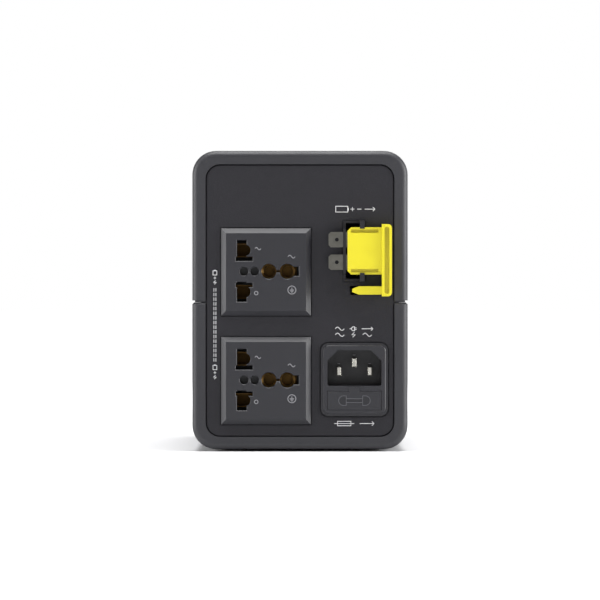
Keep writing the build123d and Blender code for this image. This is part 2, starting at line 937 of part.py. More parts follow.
fuse_y = drawer_back_y - fuse_radius - fuse_from_drawer_back
with BuildPart() as fuse_drawer:
    block(
        (inlet_x - drawer_width / 2, inlet_face_y, drawer_z - drawer_height / 2),
        (inlet_x + drawer_width / 2, drawer_back_y, drawer_z + drawer_height / 2),
    )
    block(
        (inlet_x - drawer_tab_width / 2, inlet_face_y, drawer_z),
        (inlet_x + drawer_tab_width / 2, inlet_face_y + drawer_tab_length, tab_z),
    )
    # The fuse lies across the drawer in a bay that is open above and behind.
    block(
        (inlet_x - fuse_length / 2 - 0.4, fuse_y - fuse_radius - 0.1, drawer_z - fuse_radius - 0.1),
        (inlet_x + fuse_length / 2 + 0.4, drawer_back_y, drawer_z + drawer_height / 2),
        mode=Mode.SUBTRACT,
    )
    # The fuse symbol, sunk into the front: a D at each end and a bar between them.
    with BuildSketch(facing_rear(inlet_face_y + fuse_sign_depth)) as symbol:
        for side in (-1, 1):
            with Locations((inlet_x + side * (fuse_sign_half + fuse_sign_end), drawer_z)):
                Circle(fuse_sign_radius)
            with Locations((inlet_x + side * (fuse_sign_half + fuse_sign_end / 2), drawer_z)):
                Rectangle(fuse_sign_end, 2 * fuse_sign_radius)
        with Locations((inlet_x, drawer_z)):
            Rectangle(2 * fuse_sign_half, 2 * fuse_sign_radius, mode=Mode.SUBTRACT)
            Rectangle(2 * fuse_sign_half, fuse_sign_bar)
    extrude(symbol.sketch, amount=fuse_sign_depth, mode=Mode.SUBTRACT)
save(fuse_drawer, "fuse_drawer")

glass_ends = (inlet_x - fuse_length / 2 + fuse_end_gap, inlet_x + fuse_length / 2 - fuse_end_gap)
with BuildPart() as fuse_glass:
    rod((fuse_y, drawer_z), fuse_radius - fit_gap, *glass_ends, "X")
    rod((fuse_y, drawer_z), fuse_radius - fit_gap - fuse_wall, *glass_ends, "X", Mode.SUBTRACT)
save(fuse_glass, "fuse_glass")

with BuildPart() as fuse_caps:
    for side in (-1, 1):
        outer = inlet_x + side * fuse_length / 2
        inner = outer - side * fuse_cap_length
        rod((fuse_y, drawer_z), fuse_radius, min(outer, inner), max(outer, inner), "X")
        face = outer - side * fuse_end_gap
        rod((fuse_y, drawer_z), fuse_radius - fit_gap, min(face, inner), max(face, inner), "X", Mode.SUBTRACT)
save(fuse_caps, "fuse_caps")

# Flat springs behind the drawer that touch the fuse's caps when it is shut.
with BuildPart() as fuse_clips:
    for side in (-1, 1):
        x = inlet_x + side * (fuse_length / 2 - fuse_cap_length / 2)
        block(
            (x - clip_blade / 2, fuse_y + fuse_radius + seat_gap, drawer_z - clip_thickness / 2),
            (x + clip_blade / 2, inlet_back_y + tail_length, drawer_z + clip_thickness / 2),
        )
        block(
            (x - clip_blade / 2, inlet_back_y + 0.5, drawer_z - clip_thickness / 2),
            (x + clip_blade / 2 + clip_step, inlet_back_y + tail_length, drawer_z + clip_thickness / 2),
        )
save(fuse_clips, "fuse_clips")

# --- Battery connector ---
rim_y = panel_y - port_proud
port_back_y = rim_y + port_depth
slot_width = port_width - 2 * port_wall
slot_height = port_height - 2 * port_wall
blade_zs = (port_z - blade_pitch / 2, port_z + blade_pitch / 2)
plug_back_y = rim_y - plug_rest_gap
plug_face_y = plug_back_y - plug_thickness
blade_y = (plug_back_y + plug_face_y) / 2
plug_left = port_x - port_width / 2 + plug_left_of_port
plug_right = plug_left + plug_length
plug_top = port_z + plug_height / 2
plug_bottom = port_z - plug_height / 2
clip_x = plug_left + clip_from_plug_left
bridge_left = port_x - port_width / 2
receptacle_start_y = port_back_y - port_floor - receptacle_depth
with BuildPart() as battery_port:
    block(
        (port_x - port_width / 2, rim_y, port_z - port_height / 2),
        (port_x + port_width / 2, port_back_y, port_z + port_height / 2),
    )
    block(
        (
            port_x - port_width / 2 - port_flange_width,
            flange_back_y + seat_gap,
            port_z - port_height / 2 - port_flange_width,
        ),
        (
            port_x + port_width / 2 + port_flange_width,
            flange_back_y + seat_gap + port_flange_thickness,
            port_z + port_height / 2 + port_flange_width,
        ),
    )
    block(
        (port_x - slot_width / 2, rim_y, port_z - slot_height / 2),
        (port_x + slot_width / 2, port_back_y - port_floor, port_z + slot_height / 2),
        mode=Mode.SUBTRACT,
    )
    # The bridge that the stowed plug's blades lie under.
    bridge_half = blade_pitch / 2 + blade_width / 2 + slide_gap + port_wall
    block(
        (bridge_left, rim_y - bridge_height, port_z - bridge_half),
        (bridge_left + port_wall, rim_y, port_z + bridge_half),
    )
    slot_half = (blade_thickness / 2 + slide_gap, blade_width / 2 + slide_gap)
    for z in blade_zs:
        block(
            (bridge_left - 1, blade_y - slot_half[0], z - slot_half[1]),
            (bridge_left + port_wall + 1, blade_y + slot_half[0], z + slot_half[1]),
            mode=Mode.SUBTRACT,
        )
    # Two clips whose noses hold the stowed plug by its rails.
    nose_y = plug_face_y + plug_rail_drop - slide_gap
    for side in (-1, 1):
        edge = port_z + side * (plug_height / 2 + slide_gap)
        outer = port_z + side * port_height / 2
        nose = port_z + side * (plug_height / 2 - clip_reach)
        low, high = min(edge, outer), max(edge, outer)
        block((clip_x, nose_y - clip_nose, low), (clip_x + clip_width, rim_y + 0.5, high))
        low, high = min(nose, outer), max(nose, outer)
        block((clip_x, nose_y - clip_nose, low), (clip_x + clip_width, nose_y, high))
    for z in blade_zs:
        tail_half = (tail_thickness / 2 + fit_gap, blade_width / 2 + fit_gap)
        block(
            (port_x - tail_half[0], port_back_y - port_floor - 1, z - tail_half[1]),
            (port_x + tail_half[0], port_back_y, z + tail_half[1]),
            mode=Mode.SUBTRACT,
        )
save(battery_port, "battery_port")

with BuildPart() as port_contacts:
    for z in blade_zs:
        end_y = port_back_y - port_floor - seat_gap
        for side in (-1, 1):
            inner = port_x + side * (blade_thickness / 2 + seat_gap / 2)
            outer = inner + side * contact_sheet
            block(
                (min(inner, outer), receptacle_start_y, z - blade_width / 2),
                (max(inner, outer), end_y, z + blade_width / 2),
            )
        block(
            (port_x - blade_thickness / 2 - seat_gap, end_y - contact_sheet, z - blade_width / 2),
            (port_x + blade_thickness / 2 + seat_gap, end_y, z + blade_width / 2),
        )
        block(
            (port_x - tail_thickness / 2, end_y - contact_sheet, z - blade_width / 2),
            (port_x + tail_thickness / 2, port_back_y + tail_length, z + blade_width / 2),
        )
save(port_contacts, "port_contacts")

handle_top = plug_top + handle_above_plug
handle_x = plug_right + handle_width / 2
handle_z = handle_top - handle_length / 2
with BuildPart() as plug_body:
    block((plug_left, plug_face_y, plug_bottom), (plug_right + finger_root, plug_back_y, plug_top))
    left_corners = plug_body.edges().filter_by(Axis.Y).group_by(Axis.X)[0]
    chamfer(left_corners, plug_chamfer)
    for side in (-1, 1):
        edge = port_z + side * plug_height / 2
        rail = edge - side * plug_rail
        floor = rail - side * plug_channel
        block(
            (plug_left - 1, plug_face_y - 1, min(edge, rail)),
            (plug_right, plug_face_y + plug_rail_drop, max(edge, rail)),
            mode=Mode.SUBTRACT,
        )
        block(
            (plug_left + plug_channel, plug_face_y - 1, min(rail, floor)),
            (plug_right - plug_channel, plug_face_y + plug_rail_drop + plug_channel_depth, max(rail, floor)),
            mode=Mode.SUBTRACT,
        )
    # The pull handle, with a channel along its outer edge.
    block(
        (plug_right, plug_back_y - handle_height, handle_top - handle_length),
        (plug_right + handle_width, plug_back_y, handle_top),
    )
    fillet(plug_body.edges().filter_by(Axis.Y).group_by(Axis.X)[-1], handle_corner_radius)
    with BuildSketch(facing_rear(plug_back_y - handle_height + handle_channel_depth)) as channel:
        with Locations((handle_x, handle_z)):
            SlotOverall(handle_length - 2 * handle_rim, handle_width - 2 * handle_rim, rotation=90)
    extrude(channel.sketch, amount=handle_channel_depth, mode=Mode.SUBTRACT)
    # The finger that locks the plug when it is pushed home.
    with BuildSketch(facing_rear(blade_y + finger_width / 2)) as finger:
        with BuildLine():
            Polyline(
                (plug_right + finger_root, finger_z - finger_width / 2),
                (plug_right - finger_length + finger_tip, finger_z - finger_width / 2),
                (plug_right - finger_length, finger_z - finger_width / 5),
                (plug_right - finger_length, finger_z + finger_width / 5),
                (plug_right - finger_length + finger_tip, finger_z + finger_width / 2),
                (plug_right + finger_root, finger_z + finger_width / 2),
                close=True,
            )
        make_face()
    extrude(finger.sketch, amount=finger_width)
    # A raised arrow that shows which way the plug goes in.
    with BuildSketch(facing_rear(plug_face_y)) as arrow:
        with Locations((plug_right - arrow_from_right, port_z)):
            RegularPolygon(arrow_radius, 3, rotation=180)
    extrude(arrow.sketch, amount=arrow_height)
    # Slots that hold the blades.
    grip_half = (blade_thickness / 2 + hold_gap, blade_width / 2 + hold_gap)
    for z in blade_zs:
        block(
            (plug_left - 1, blade_y - grip_half[0], z - grip_half[1]),
            (plug_left + blade_grip + hold_gap, blade_y + grip_half[0], z + grip_half[1]),
            mode=Mode.SUBTRACT,
        )
save(plug_body, "plug_body")

with BuildPart() as plug_blades:
    for z in blade_zs:
        block(
            (plug_left - blade_reach, blade_y - blade_thickness / 2, z - blade_width / 2),
            (plug_left + blade_grip, blade_y + blade_thickness / 2, z + blade_width / 2),
        )
    chamfer(plug_blades.edges().filter_by(Axis.Y).group_by(Axis.X)[0], blade_chamfer)
    for z in blade_zs:
        hole = (plug_left - blade_reach + blade_hole_inset, z)
        rod(hole, blade_hole_radius, blade_y - 1, blade_y + 1, mode=Mode.SUBTRACT)
save(plug_blades, "plug_blades")

# --- Front panel, power button and lights ---
front_board_y = front_panel_back_y - front_board_gap
stem_end_y = front_board_y + switch_height + plunger_proud
button_face_y = front_panel_y - dish_depth + button_proud
post_x = front_board_width / 2 - post_inset
post_rise = front_board_height / 2 - post_inset
posts = [(side * post_x, button_height + end * post_rise) for side in (-1, 1) for end in (-1, 1)]
with BuildPart() as front_panel:
    rounded(
        front_opening_width - 2 * panel_gap,
        front_opening_height - 2 * panel_gap,
        front_opening_radius - panel_gap,
        (0, middle_z),
        front_panel_back_y,
        front_panel_y,
    )
    fillet(front_panel.edges().group_by(Axis.Y)[-1], front_panel_edge_radius)
    rounded(
        front_opening_width + 2 * flange_overlap,
        front_opening_height + 2 * flange_overlap,
        front_opening_radius,
        (0, middle_z),
        front_flange_y - flange_thickness,
        front_flange_y,
    )
    rounded(
        front_opening_width - 2 * flange_width,
        front_opening_height - 2 * flange_width,
        1.0,
        (0, middle_z),
        front_flange_y - flange_thickness,
        front_panel_back_y,
        mode=Mode.SUBTRACT,
    )
    rod((0, button_height), dish_radius, front_panel_y - dish_depth, front_panel_y, mode=Mode.SUBTRACT)
    rod((0, button_height), button_radius + button_gap, front_panel_back_y, front_panel_y, mode=Mode.SUBTRACT)
    # The window of the light pipe: an arc above the button.
    with BuildSketch(facing_rear(front_panel_y)) as window:
        with BuildLine():
            ring_outline(ring_inner_radius - fit_gap, ring_outer_radius + fit_gap, ring_half_angle + 1)
        make_face()
    extrude(window.sketch, amount=panel_thickness, mode=Mode.SUBTRACT)
    for index in range(louvre_count):
        z = opening_bottom + louvre_from_bottom + index * louvre_pitch
        rounded(
            louvre_width,
            louvre_height,
            louvre_height / 2 - 0.01,
            (0, z),
            front_panel_back_y,
            front_panel_y,
            Mode.SUBTRACT,
        )
    post_y = front_board_y + board_thickness
    for x, z in posts:
        rod((x, z), post_radius, post_y, front_panel_back_y + 0.5)
        rod((x, z), board_screw_radius, front_board_y, post_y + board_screw_length, mode=Mode.SUBTRACT)
save(front_panel, "front_panel")

button_flange_y = front_panel_back_y - slide_gap
with BuildPart() as power_button:
    rod((0, button_height), button_radius, button_flange_y - 1, button_face_y)
    fillet(power_button.edges().group_by(Axis.Y)[-1], button_edge_radius)
    rod((0, button_height), button_radius + button_flange, button_flange_y - button_flange, button_flange_y)
    rod((0, button_height), plunger_radius + 0.6, stem_end_y, button_flange_y - button_flange)
    # The raised power sign: a broken ring with a bar in its gap.
    with BuildSketch(facing_rear(button_face_y + sign_height)) as sign:
        with Locations((0, button_height)):
            Circle(sign_radius)
            Circle(sign_radius - sign_stroke, mode=Mode.SUBTRACT)
        with Locations((0, button_height + sign_radius - sign_stroke / 2)):
            Rectangle(sign_bar, sign_bar, mode=Mode.SUBTRACT)
            Rectangle(sign_stroke, sign_bar)
    extrude(sign.sketch, amount=2 * sign_height)
save(power_button, "power_button")

switch_back_y = front_board_y + board_thickness
with BuildPart() as tactile_switch:
    block(
        (-switch_size / 2, switch_back_y, button_height - switch_size / 2),
        (switch_size / 2, switch_back_y + switch_height - board_thickness, button_height + switch_size / 2),
    )
    rod(
        (0, button_height),
        plunger_radius + 0.05,
        switch_back_y + switch_floor,
        switch_back_y + switch_height,
        mode=Mode.SUBTRACT,
    )
save(tactile_switch, "tactile_switch")

with BuildPart() as switch_plunger:
    plunger_y = switch_back_y + switch_floor + button_stroke + seat_gap
    rod((0, button_height), plunger_radius, plunger_y, stem_end_y)
save(switch_plunger, "switch_plunger")

ring_middle = (ring_inner_radius + ring_outer_radius) / 2
with BuildPart() as light_pipe:
    with BuildSketch(facing_rear(front_panel_y - dish_depth + 0.5)) as arc:
        with BuildLine():
            ring_outline(ring_inner_radius, ring_outer_radius, ring_half_angle)
        make_face()
    extrude(arc.sketch, amount=panel_thickness + pipe_reach)
    for angle in led_angles:
        spot = Vector(ring_middle, 0).rotate(Axis.Z, angle)
        leg_start = switch_back_y + led_height + slide_gap
        rod((spot.X, button_height + spot.Y), pipe_leg_radius, leg_start, front_panel_back_y - 1.0)
save(light_pipe, "light_pipe")

with BuildPart() as status_leds:
    for angle in led_angles:
        spot = Vector(ring_middle, 0).rotate(Axis.Z, angle)
        rod((spot.X, button_height + spot.Y), led_radius, switch_back_y, switch_back_y + led_height)
save(status_leds, "status_leds")

with BuildPart() as front_board:
    block(
        (-front_board_width / 2, front_board_y, button_height - front_board_height / 2),
        (front_board_width / 2, switch_back_y, button_height + front_board_height / 2),
    )
    for x, z in posts:
        rod((x, z), board_screw_radius + 0.1, front_board_y, switch_back_y, mode=Mode.SUBTRACT)
save(front_board, "front_board")

with BuildPart() as front_board_screws:
    for x, z in posts:
        rod((x, z), board_screw_radius - 0.03, front_board_y, switch_back_y + board_screw_length - 0.5)
        rod((x, z), board_head_radius, front_board_y - board_head_height, front_board_y)
save(front_board_screws, "front_board_screws")

# --- Battery ---
lid_z = battery_top_z - battery_lid_height
with BuildPart() as battery_case:
    block((-battery_width / 2, battery_rear_y, battery_base_z), (battery_width / 2, battery_front_y, lid_z))
    fillet(battery_case.edges().filter_by(Axis.Z), battery_corner_radius)
    cell_length = (battery_length - battery_wall) / battery_cells
    for index in range(battery_cells):
        start = battery_rear_y + battery_wall + index * cell_length
        block(
            (-battery_width / 2 + battery_wall, start, battery_base_z + battery_wall),
            (battery_width / 2 - battery_wall, start + cell_length - battery_wall, lid_z),
            mode=Mode.SUBTRACT,
        )
save(battery_case, "battery_case")

plate_pitch = (cell_length - battery_wall) / plates_per_cell
with BuildPart() as battery_plates:
    for cell in range(battery_cells):
        for plate in range(plates_per_cell):
            start = battery_rear_y + battery_wall + cell * cell_length + (plate + 0.5) * plate_pitch
            plate_x = battery_width / 2 - battery_wall - plate_side_gap
            block(
                (-plate_x, start - plate_thickness / 2, battery_base_z + battery_wall),
                (plate_x, start + plate_thickness / 2, lid_z - plate_top_gap),
            )
save(battery_plates, "battery_plates")

terminal_y = battery_front_y - terminal_from_end
terminal_foot_z = battery_top_z - terminal_recess
with BuildPart() as battery_lid:
    block((-battery_width / 2, battery_rear_y, lid_z), (battery_width / 2, battery_front_y, battery_top_z))
    fillet(battery_lid.edges().filter_by(Axis.Z), battery_corner_radius)
    block(
        (-battery_width / 2 + battery_wall, battery_rear_y + battery_wall, lid_z),
        (battery_width / 2 - battery_wall, battery_front_y - battery_wall, battery_top_z - battery_wall),
        mode=Mode.SUBTRACT,
    )
    for side in (-1, 1):
        x = side * terminal_spacing / 2
        half = terminal_recess_size / 2
        block(
            (x - half, terminal_y - half, terminal_foot_z),
            (x + half, terminal_y + half, battery_top_z),
            mode=Mode.SUBTRACT,
        )
save(battery_lid, "battery_lid")

terminal_top_z = battery_top_z + terminal_height
with BuildPart() as battery_terminals:
    for side in (-1, 1):
        x = side * terminal_spacing / 2
        half = terminal_foot_size / 2
        block(
            (x - half, terminal_y - half, terminal_foot_z),
            (x + half, terminal_y + half, terminal_foot_z + terminal_foot),
        )
        block(
            (x - terminal_width / 2, terminal_y - tail_thickness / 2, terminal_foot_z),
            (x + terminal_width / 2, terminal_y + tail_thickness / 2, terminal_top_z),
        )
save(battery_terminals, "battery_terminals")

with BuildPart() as battery_pads:
    for side in (-1, 1):
        x = side * battery_width / 4
        block(
            (x - pad_width / 2, battery_rear_y + pad_inset, floor_z),
            (x + pad_width / 2, battery_front_y - pad_inset, battery_base_z),
        )
save(battery_pads, "battery_pads")

# --- Transformer ---
core_top_z = core_base_z + core_height
core_z = (core_base_z + core_top_z) / 2
window_width = core_width / 2 - 2 * core_limb
window_half_height = core_height / 2 - core_limb


def core_block(half_x, half_y, half_z, mode=Mode.ADD, x=0):
    """A box centred on the transformer's core, or beside it by x."""
    block(
        (x - half_x, transformer_y - half_y, core_z - half_z),
        (x + half_x, transformer_y + half_y, core_z + half_z),
        mode,
    )


with BuildPart() as transformer_core:
    core_block(core_width / 2, core_stack / 2, core_height / 2)
    for side in (-1, 1):
        window_x = side * (core_limb + window_width / 2)
        core_block(window_width / 2, core_stack, window_half_height, Mode.SUBTRACT, window_x)
save(transformer_core, "transformer_core")


def coil(inner, outer, half_z):
    """A rectangular sleeve round the core's middle limb, between two distances from its sides."""
    with BuildPart() as sleeve:
        core_block(core_limb + outer, core_stack / 2 + outer, half_z)
        fillet(sleeve.edges().filter_by(Axis.Z), max(outer * 0.45, 0.5))
        core_block(core_limb + inner, core_stack / 2 + inner, half_z, Mode.SUBTRACT)
    return sleeve


coil_half_z = window_half_height - bobbin_wall - coil_gap
coil_middle = (coil_gap + bobbin_wall + coil_build) / 2
with BuildPart() as transformer_bobbin:
    add(coil(coil_gap, coil_gap + bobbin_wall, window_half_height - coil_gap).part)
    for side in (-1, 1):
        flange_low = core_z + side * (window_half_height - coil_gap)
        flange_high = flange_low - side * bobbin_wall
        flange_x = core_limb + coil_build + bobbin_proud
        flange_reach = core_stack / 2 + coil_build + bobbin_proud
        block(
            (-flange_x, transformer_y - flange_reach, min(flange_low, flange_high)),
            (flange_x, transformer_y + flange_reach, max(flange_low, flange_high)),
        )
    core_block(core_limb + coil_gap, core_stack / 2 + coil_gap, window_half_height, Mode.SUBTRACT)
save(transformer_bobbin, "transformer_bobbin")
save(coil(coil_gap + bobbin_wall, coil_middle, coil_half_z - seat_gap), "transformer_primary")
save(coil(coil_middle, coil_build, coil_half_z - seat_gap), "transformer_secondary")

bracket_half = core_width / 2 + bracket_sheet
with BuildPart() as transformer_bracket:
    block(
        (-bracket_half, transformer_y - bracket_width / 2, core_base_z),
        (bracket_half, transformer_y + bracket_width / 2, core_top_z + bracket_sheet),
    )
    block(
        (-core_width / 2, transformer_y - bracket_width, core_base_z - 1),
        (core_width / 2, transformer_y + bracket_width, core_top_z),
        mode=Mode.SUBTRACT,
    )
    for side in (-1, 1):
        inner = side * core_width / 2
        outer = side * (bracket_half + bracket_foot)
        block(
            (min(inner, outer), transformer_y - bracket_width / 2, core_base_z),
            (max(inner, outer), transformer_y + bracket_width / 2, core_base_z + bracket_sheet),
        )
        hole = (side * bracket_hole_x, transformer_y)
        rod(hole, bolt_radius, core_base_z, core_base_z + 2 * bracket_sheet, "Z", Mode.SUBTRACT)
save(transformer_bracket, "transformer_bracket")

with BuildPart() as transformer_screws:
    for side in (-1, 1):
        place = (side * bracket_hole_x, transformer_y)
        rod(place, bolt_radius - 0.1, floor_z, core_base_z + bracket_sheet, "Z")
        head_z = core_base_z + bracket_sheet
        rod(place, bracket_foot / 2 - 1, head_z, head_z + bolt_head_height, "Z")
save(transformer_screws, "transformer_screws")

# --- Main board ---
with BuildPart() as main_board:
    block((-main_board_width / 2, board_rear_y, board_z), (main_board_width / 2, board_front_y, board_top_z))
    for x, y in board_holes:
        rod((x, y), board_screw_radius + 0.1, board_z, board_top_z, "Z", Mode.SUBTRACT)
save(main_board, "main_board")

with BuildPart() as board_screws:
    for x, y in board_holes:
        rod((x, y), board_screw_radius - 0.03, board_z, board_top_z + board_screw_bite, "Z")
        rod((x, y), board_head_radius, board_z - board_head_height, board_z, "Z")
save(board_screws, "board_screws")

sink_y = board_rear_y + sink_from_rear
with BuildPart() as heat_sink:
    fin_y = sink_y + sink_sheet
    block((-sink_width / 2, sink_y, board_z - sink_drop), (sink_width / 2, fin_y, board_z))
    for index in range(fin_count):
        x = -sink_width / 2 + index * (sink_width - fin_thickness) / (fin_count - 1)
        block((x, fin_y, board_z - sink_drop), (x + fin_thickness, fin_y + fin_length, board_z))
save(heat_sink, "heat_sink")

leg_y = sink_y - transistor_thickness / 2
leg_end_z = board_z - leg_length
with BuildPart() as power_transistors:
    for index in range(transistor_count):
        x = (index - (transistor_count - 1) / 2) * transistor_pitch
        block(
            (x - transistor_width / 2, sink_y - transistor_thickness, board_z - transistor_drop),
            (x + transistor_width / 2, sink_y, leg_end_z),
        )
        for leg in transistor_legs:
            block(
                (x + leg - leg_width / 2, leg_y - leg_thickness / 2, leg_end_z),
                (x + leg + leg_width / 2, leg_y + leg_thickness / 2, board_z),
            )
save(power_transistors, "power_transistors")

with BuildPart() as relays:
    relay_y = sink_y + relay_from_sink
    for x in relay_xs:
        block(
            (x - relay_width / 2, relay_y, board_z - relay_height),
            (x + relay_width / 2, relay_y + relay_length, board_z),
        )
    fillet(relays.edges().group_by(Axis.Z)[0], 0.6)
save(relays, "relays")

with BuildPart() as capacitors:
    for x in capacitor_xs:
        rod((x, sink_y + capacitor_from_sink), capacitor_radius, board_z - capacitor_height, board_z, "Z")
    fillet(capacitors.edges().group_by(Axis.Z)[0], 0.8)
save(capacitors, "capacitors")

# The fuse stands between the line pin and the line lead.
fuse_lead_x = inlet_x + fuse_length / 2 - fuse_cap_length / 2 + clip_blade / 2 + clip_step - 1.0
line_lead_x = socket_x + tails["line"][0]
connector_z = board_z - connector_size
lead_z = board_z - connector_size / 2
rear_connector_y = board_rear_y + rear_connector_inset
battery_connector_y = board_front_y - battery_connector_inset
coil_lead_y = transformer_y + core_stack / 2 + coil_build - 2.5
with BuildPart() as board_connectors:
    block(
        (line_lead_x - connector_margin, rear_connector_y, connector_z),
        (fuse_lead_x + connector_margin, rear_connector_y + connector_length, board_z),
    )
    block(
        (coil_lead_xs[0] - connector_length / 2, coil_lead_y - connector_length / 2, connector_z),
        (coil_lead_xs[-1] + connector_length / 2, coil_lead_y + connector_length / 2, board_z),
    )
    block(
        (battery_connector_x - connector_size / 2, battery_connector_y - connector_length, connector_z),
        (battery_connector_x + connector_size / 2, battery_connector_y, board_z),
    )
save(board_connectors, "board_connectors")

# --- Leads, each held at both ends ---
inlet_lead_y = inlet_back_y + tail_length - 2.3
socket_lead_y = socket_back_y + tail_length - 2.0


def riser(x, y, z):
    """A lead from the top of a tail up behind the rear panel and into the rear connector."""
    return lead([(x, y, z), (x, y, lead_z), (x, rear_connector_y, lead_z)], mains_lead_radius)


with BuildPart() as socket_leads:
    for chamber in ("line", "neutral"):
        x = socket_x + tails[chamber][0]
        v = chambers[chamber][1]
        lower_top_z = socket_zs["lower"] + v + tail_thickness / 2
        upper_bottom_z = socket_zs["upper"] + v - tail_thickness / 2
        add(riser(x, socket_lead_y, upper_bottom_z + tail_thickness))
        rod((x, socket_lead_y), mains_lead_radius, lower_top_z, upper_bottom_z, "Z")
save(socket_leads, "socket_leads")

with BuildPart() as inlet_leads:
    line_x, pin_z = pins["line"]
    neutral_x, pin_z = pins["neutral"]
    clip_top_z = drawer_z + clip_thickness / 2
    rod((line_x, inlet_lead_y), mains_lead_radius, clip_top_z, pin_z - pin_height / 2, "Z")
    add(riser(neutral_x - 0.4, inlet_lead_y, pin_z + pin_height / 2))
    add(riser(fuse_lead_x, inlet_lead_y, clip_top_z))
save(inlet_leads, "inlet_leads")

earth_x = socket_x + tails["earth"][0]
earth_offset = earth_tail_width / 2 - mains_lead_radius
earth_top_z = socket_zs["lower"] + earth_v + tail_thickness / 2
with BuildPart() as earth_leads:
    pin_x, pin_z = pins["earth"]
    start_z = pin_z + pin_height / 2
    crossing_y = socket_back_y + tail_length + 2.2
    crossing_z = start_z + 14
    add(
        lead(
            [
                (pin_x, inlet_lead_y, start_z),
                (pin_x, inlet_lead_y, start_z + 8),
                (pin_x - 9, crossing_y, crossing_z),
                (earth_x + earth_offset + 6, crossing_y, crossing_z + 1),
                (earth_x + earth_offset, socket_lead_y, earth_top_z + 10),
                (earth_x + earth_offset, socket_lead_y, earth_top_z),
            ],
            mains_lead_radius,
        )
    )
    upper_bottom_z = socket_zs["upper"] + earth_v - tail_thickness / 2
    rod((earth_x - earth_offset, socket_lead_y), mains_lead_radius, earth_top_z, upper_bottom_z, "Z")
save(earth_leads, "earth_leads")

port_tail_y = port_back_y + tail_length
with BuildPart() as port_lead:
    add(
        lead(
            [
                (port_x, port_tail_y, blade_zs[0]),
                (port_x, port_tail_y + 7, blade_zs[0]),
                (port_x - 2.4, port_tail_y + 10, blade_zs[0] + 15),
                (port_x - 2.4, port_tail_y + 12, lead_z),
                (port_x - 2.4, rear_connector_y, lead_z),
            ],
            lead_radius,
        )
    )
save(port_lead, "port_lead")

side_x = inner_x - 8
with BuildPart() as battery_positive_lead:
    add(
        lead(
            [
                (terminal_spacing / 2, terminal_y, terminal_top_z),
                (terminal_spacing / 2, terminal_y, terminal_top_z + 11),
                (side_x - 2, terminal_y - 24, terminal_top_z + 11),
                (side_x, terminal_y - 90, terminal_top_z + 6),
                (side_x, transformer_y + 12, terminal_top_z + 3),
                (side_x - 4, transformer_y - 23, blade_zs[1] + 4),
                (port_x, port_tail_y + 5, blade_zs[1]),
                (port_x, port_tail_y, blade_zs[1]),
            ],
            lead_radius,
        )
    )
save(battery_positive_lead, "battery_positive_lead")

with BuildPart() as battery_negative_lead:
    add(
        lead(
            [
                (-terminal_spacing / 2, terminal_y, terminal_top_z),
                (-terminal_spacing / 2, terminal_y, terminal_top_z + 12),
                (battery_connector_x, battery_connector_y + 20, lead_z),
                (battery_connector_x, battery_connector_y, lead_z),
            ],
            lead_radius,
        )
    )
save(battery_negative_lead, "battery_negative_lead")

flange_top_z = core_z + window_half_height - coil_gap
with BuildPart() as transformer_leads:
    for x in coil_lead_xs:
        rod((x, coil_lead_y), mains_lead_radius, flange_top_z, connector_z, "Z")
save(transformer_leads, "transformer_leads")
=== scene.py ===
"""The finish of an uninterruptible power supply: its materials, printed and moulded marks, and studio."""

import json
import math

import bpy
import numpy as np
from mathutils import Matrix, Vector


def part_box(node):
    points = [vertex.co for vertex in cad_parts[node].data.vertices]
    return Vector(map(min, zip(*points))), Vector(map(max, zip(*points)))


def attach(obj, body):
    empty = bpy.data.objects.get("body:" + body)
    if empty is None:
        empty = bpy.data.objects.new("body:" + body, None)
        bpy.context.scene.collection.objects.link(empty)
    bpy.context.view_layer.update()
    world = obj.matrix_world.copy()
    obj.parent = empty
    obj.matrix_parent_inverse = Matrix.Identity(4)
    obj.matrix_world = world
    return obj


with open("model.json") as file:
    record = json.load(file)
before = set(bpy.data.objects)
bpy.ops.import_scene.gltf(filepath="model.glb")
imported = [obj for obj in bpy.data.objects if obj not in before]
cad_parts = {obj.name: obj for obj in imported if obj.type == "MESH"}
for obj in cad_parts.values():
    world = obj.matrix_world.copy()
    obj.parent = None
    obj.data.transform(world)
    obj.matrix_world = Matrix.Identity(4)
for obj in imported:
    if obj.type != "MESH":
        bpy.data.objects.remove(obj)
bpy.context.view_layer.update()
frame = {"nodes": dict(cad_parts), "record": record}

bl_info = {
    "name": "Uninterruptible power supply finish",
    "version": (1, 0, 0),
    "blender": (4, 5, 0),
    "location": "3D View > Sidebar > Power supply",
    "description": "Materials, printed marks and studio for an uninterruptible power supply",
    "category": "Object",
}

MM = 0.001
RECORD = frame["record"]
SLOT_OF = {entry["node"]: entry["material_slot"] for entry in RECORD["subparts"]}

# Sizes of the CAD, in millimetres, that no node's box gives.
WELL_DEPTH = 17.0
DRAWER_HEIGHT = 8.3
EARTH_HOLES_U = (1.3, 9.6)
EARTH_HOLES_V = 0.3
SIGN_FLAT = 3.7
SIGN_RADIUS = 2.15
SIGN_CENTRE = 4.95
SIGN_BAR = 0.85


# --- Colour and node helpers ---


def linear(hex_code):
    """An sRGB hex colour as linear red, green, blue and alpha: each channel goes back through the sRGB curve."""
    channels = [int(hex_code[i : i + 2], 16) / 255 for i in (0, 2, 4)]
    curve = [c / 12.92 if c <= 0.04045 else ((c + 0.055) / 1.055) ** 2.4 for c in channels]
    return (*curve, 1.0)


def add_node(tree, kind, inputs=None, **settings):
    """One node with its settings, and its inputs as plain values or as the sockets that feed them."""
    made = tree.nodes.new(kind)
    for name, value in settings.items():
        setattr(made, name, value)
    for name, value in (inputs or {}).items():
        if isinstance(value, bpy.types.NodeSocket):
            tree.links.new(value, made.inputs[name])
        else:
            made.inputs[name].default_value = value
    return made


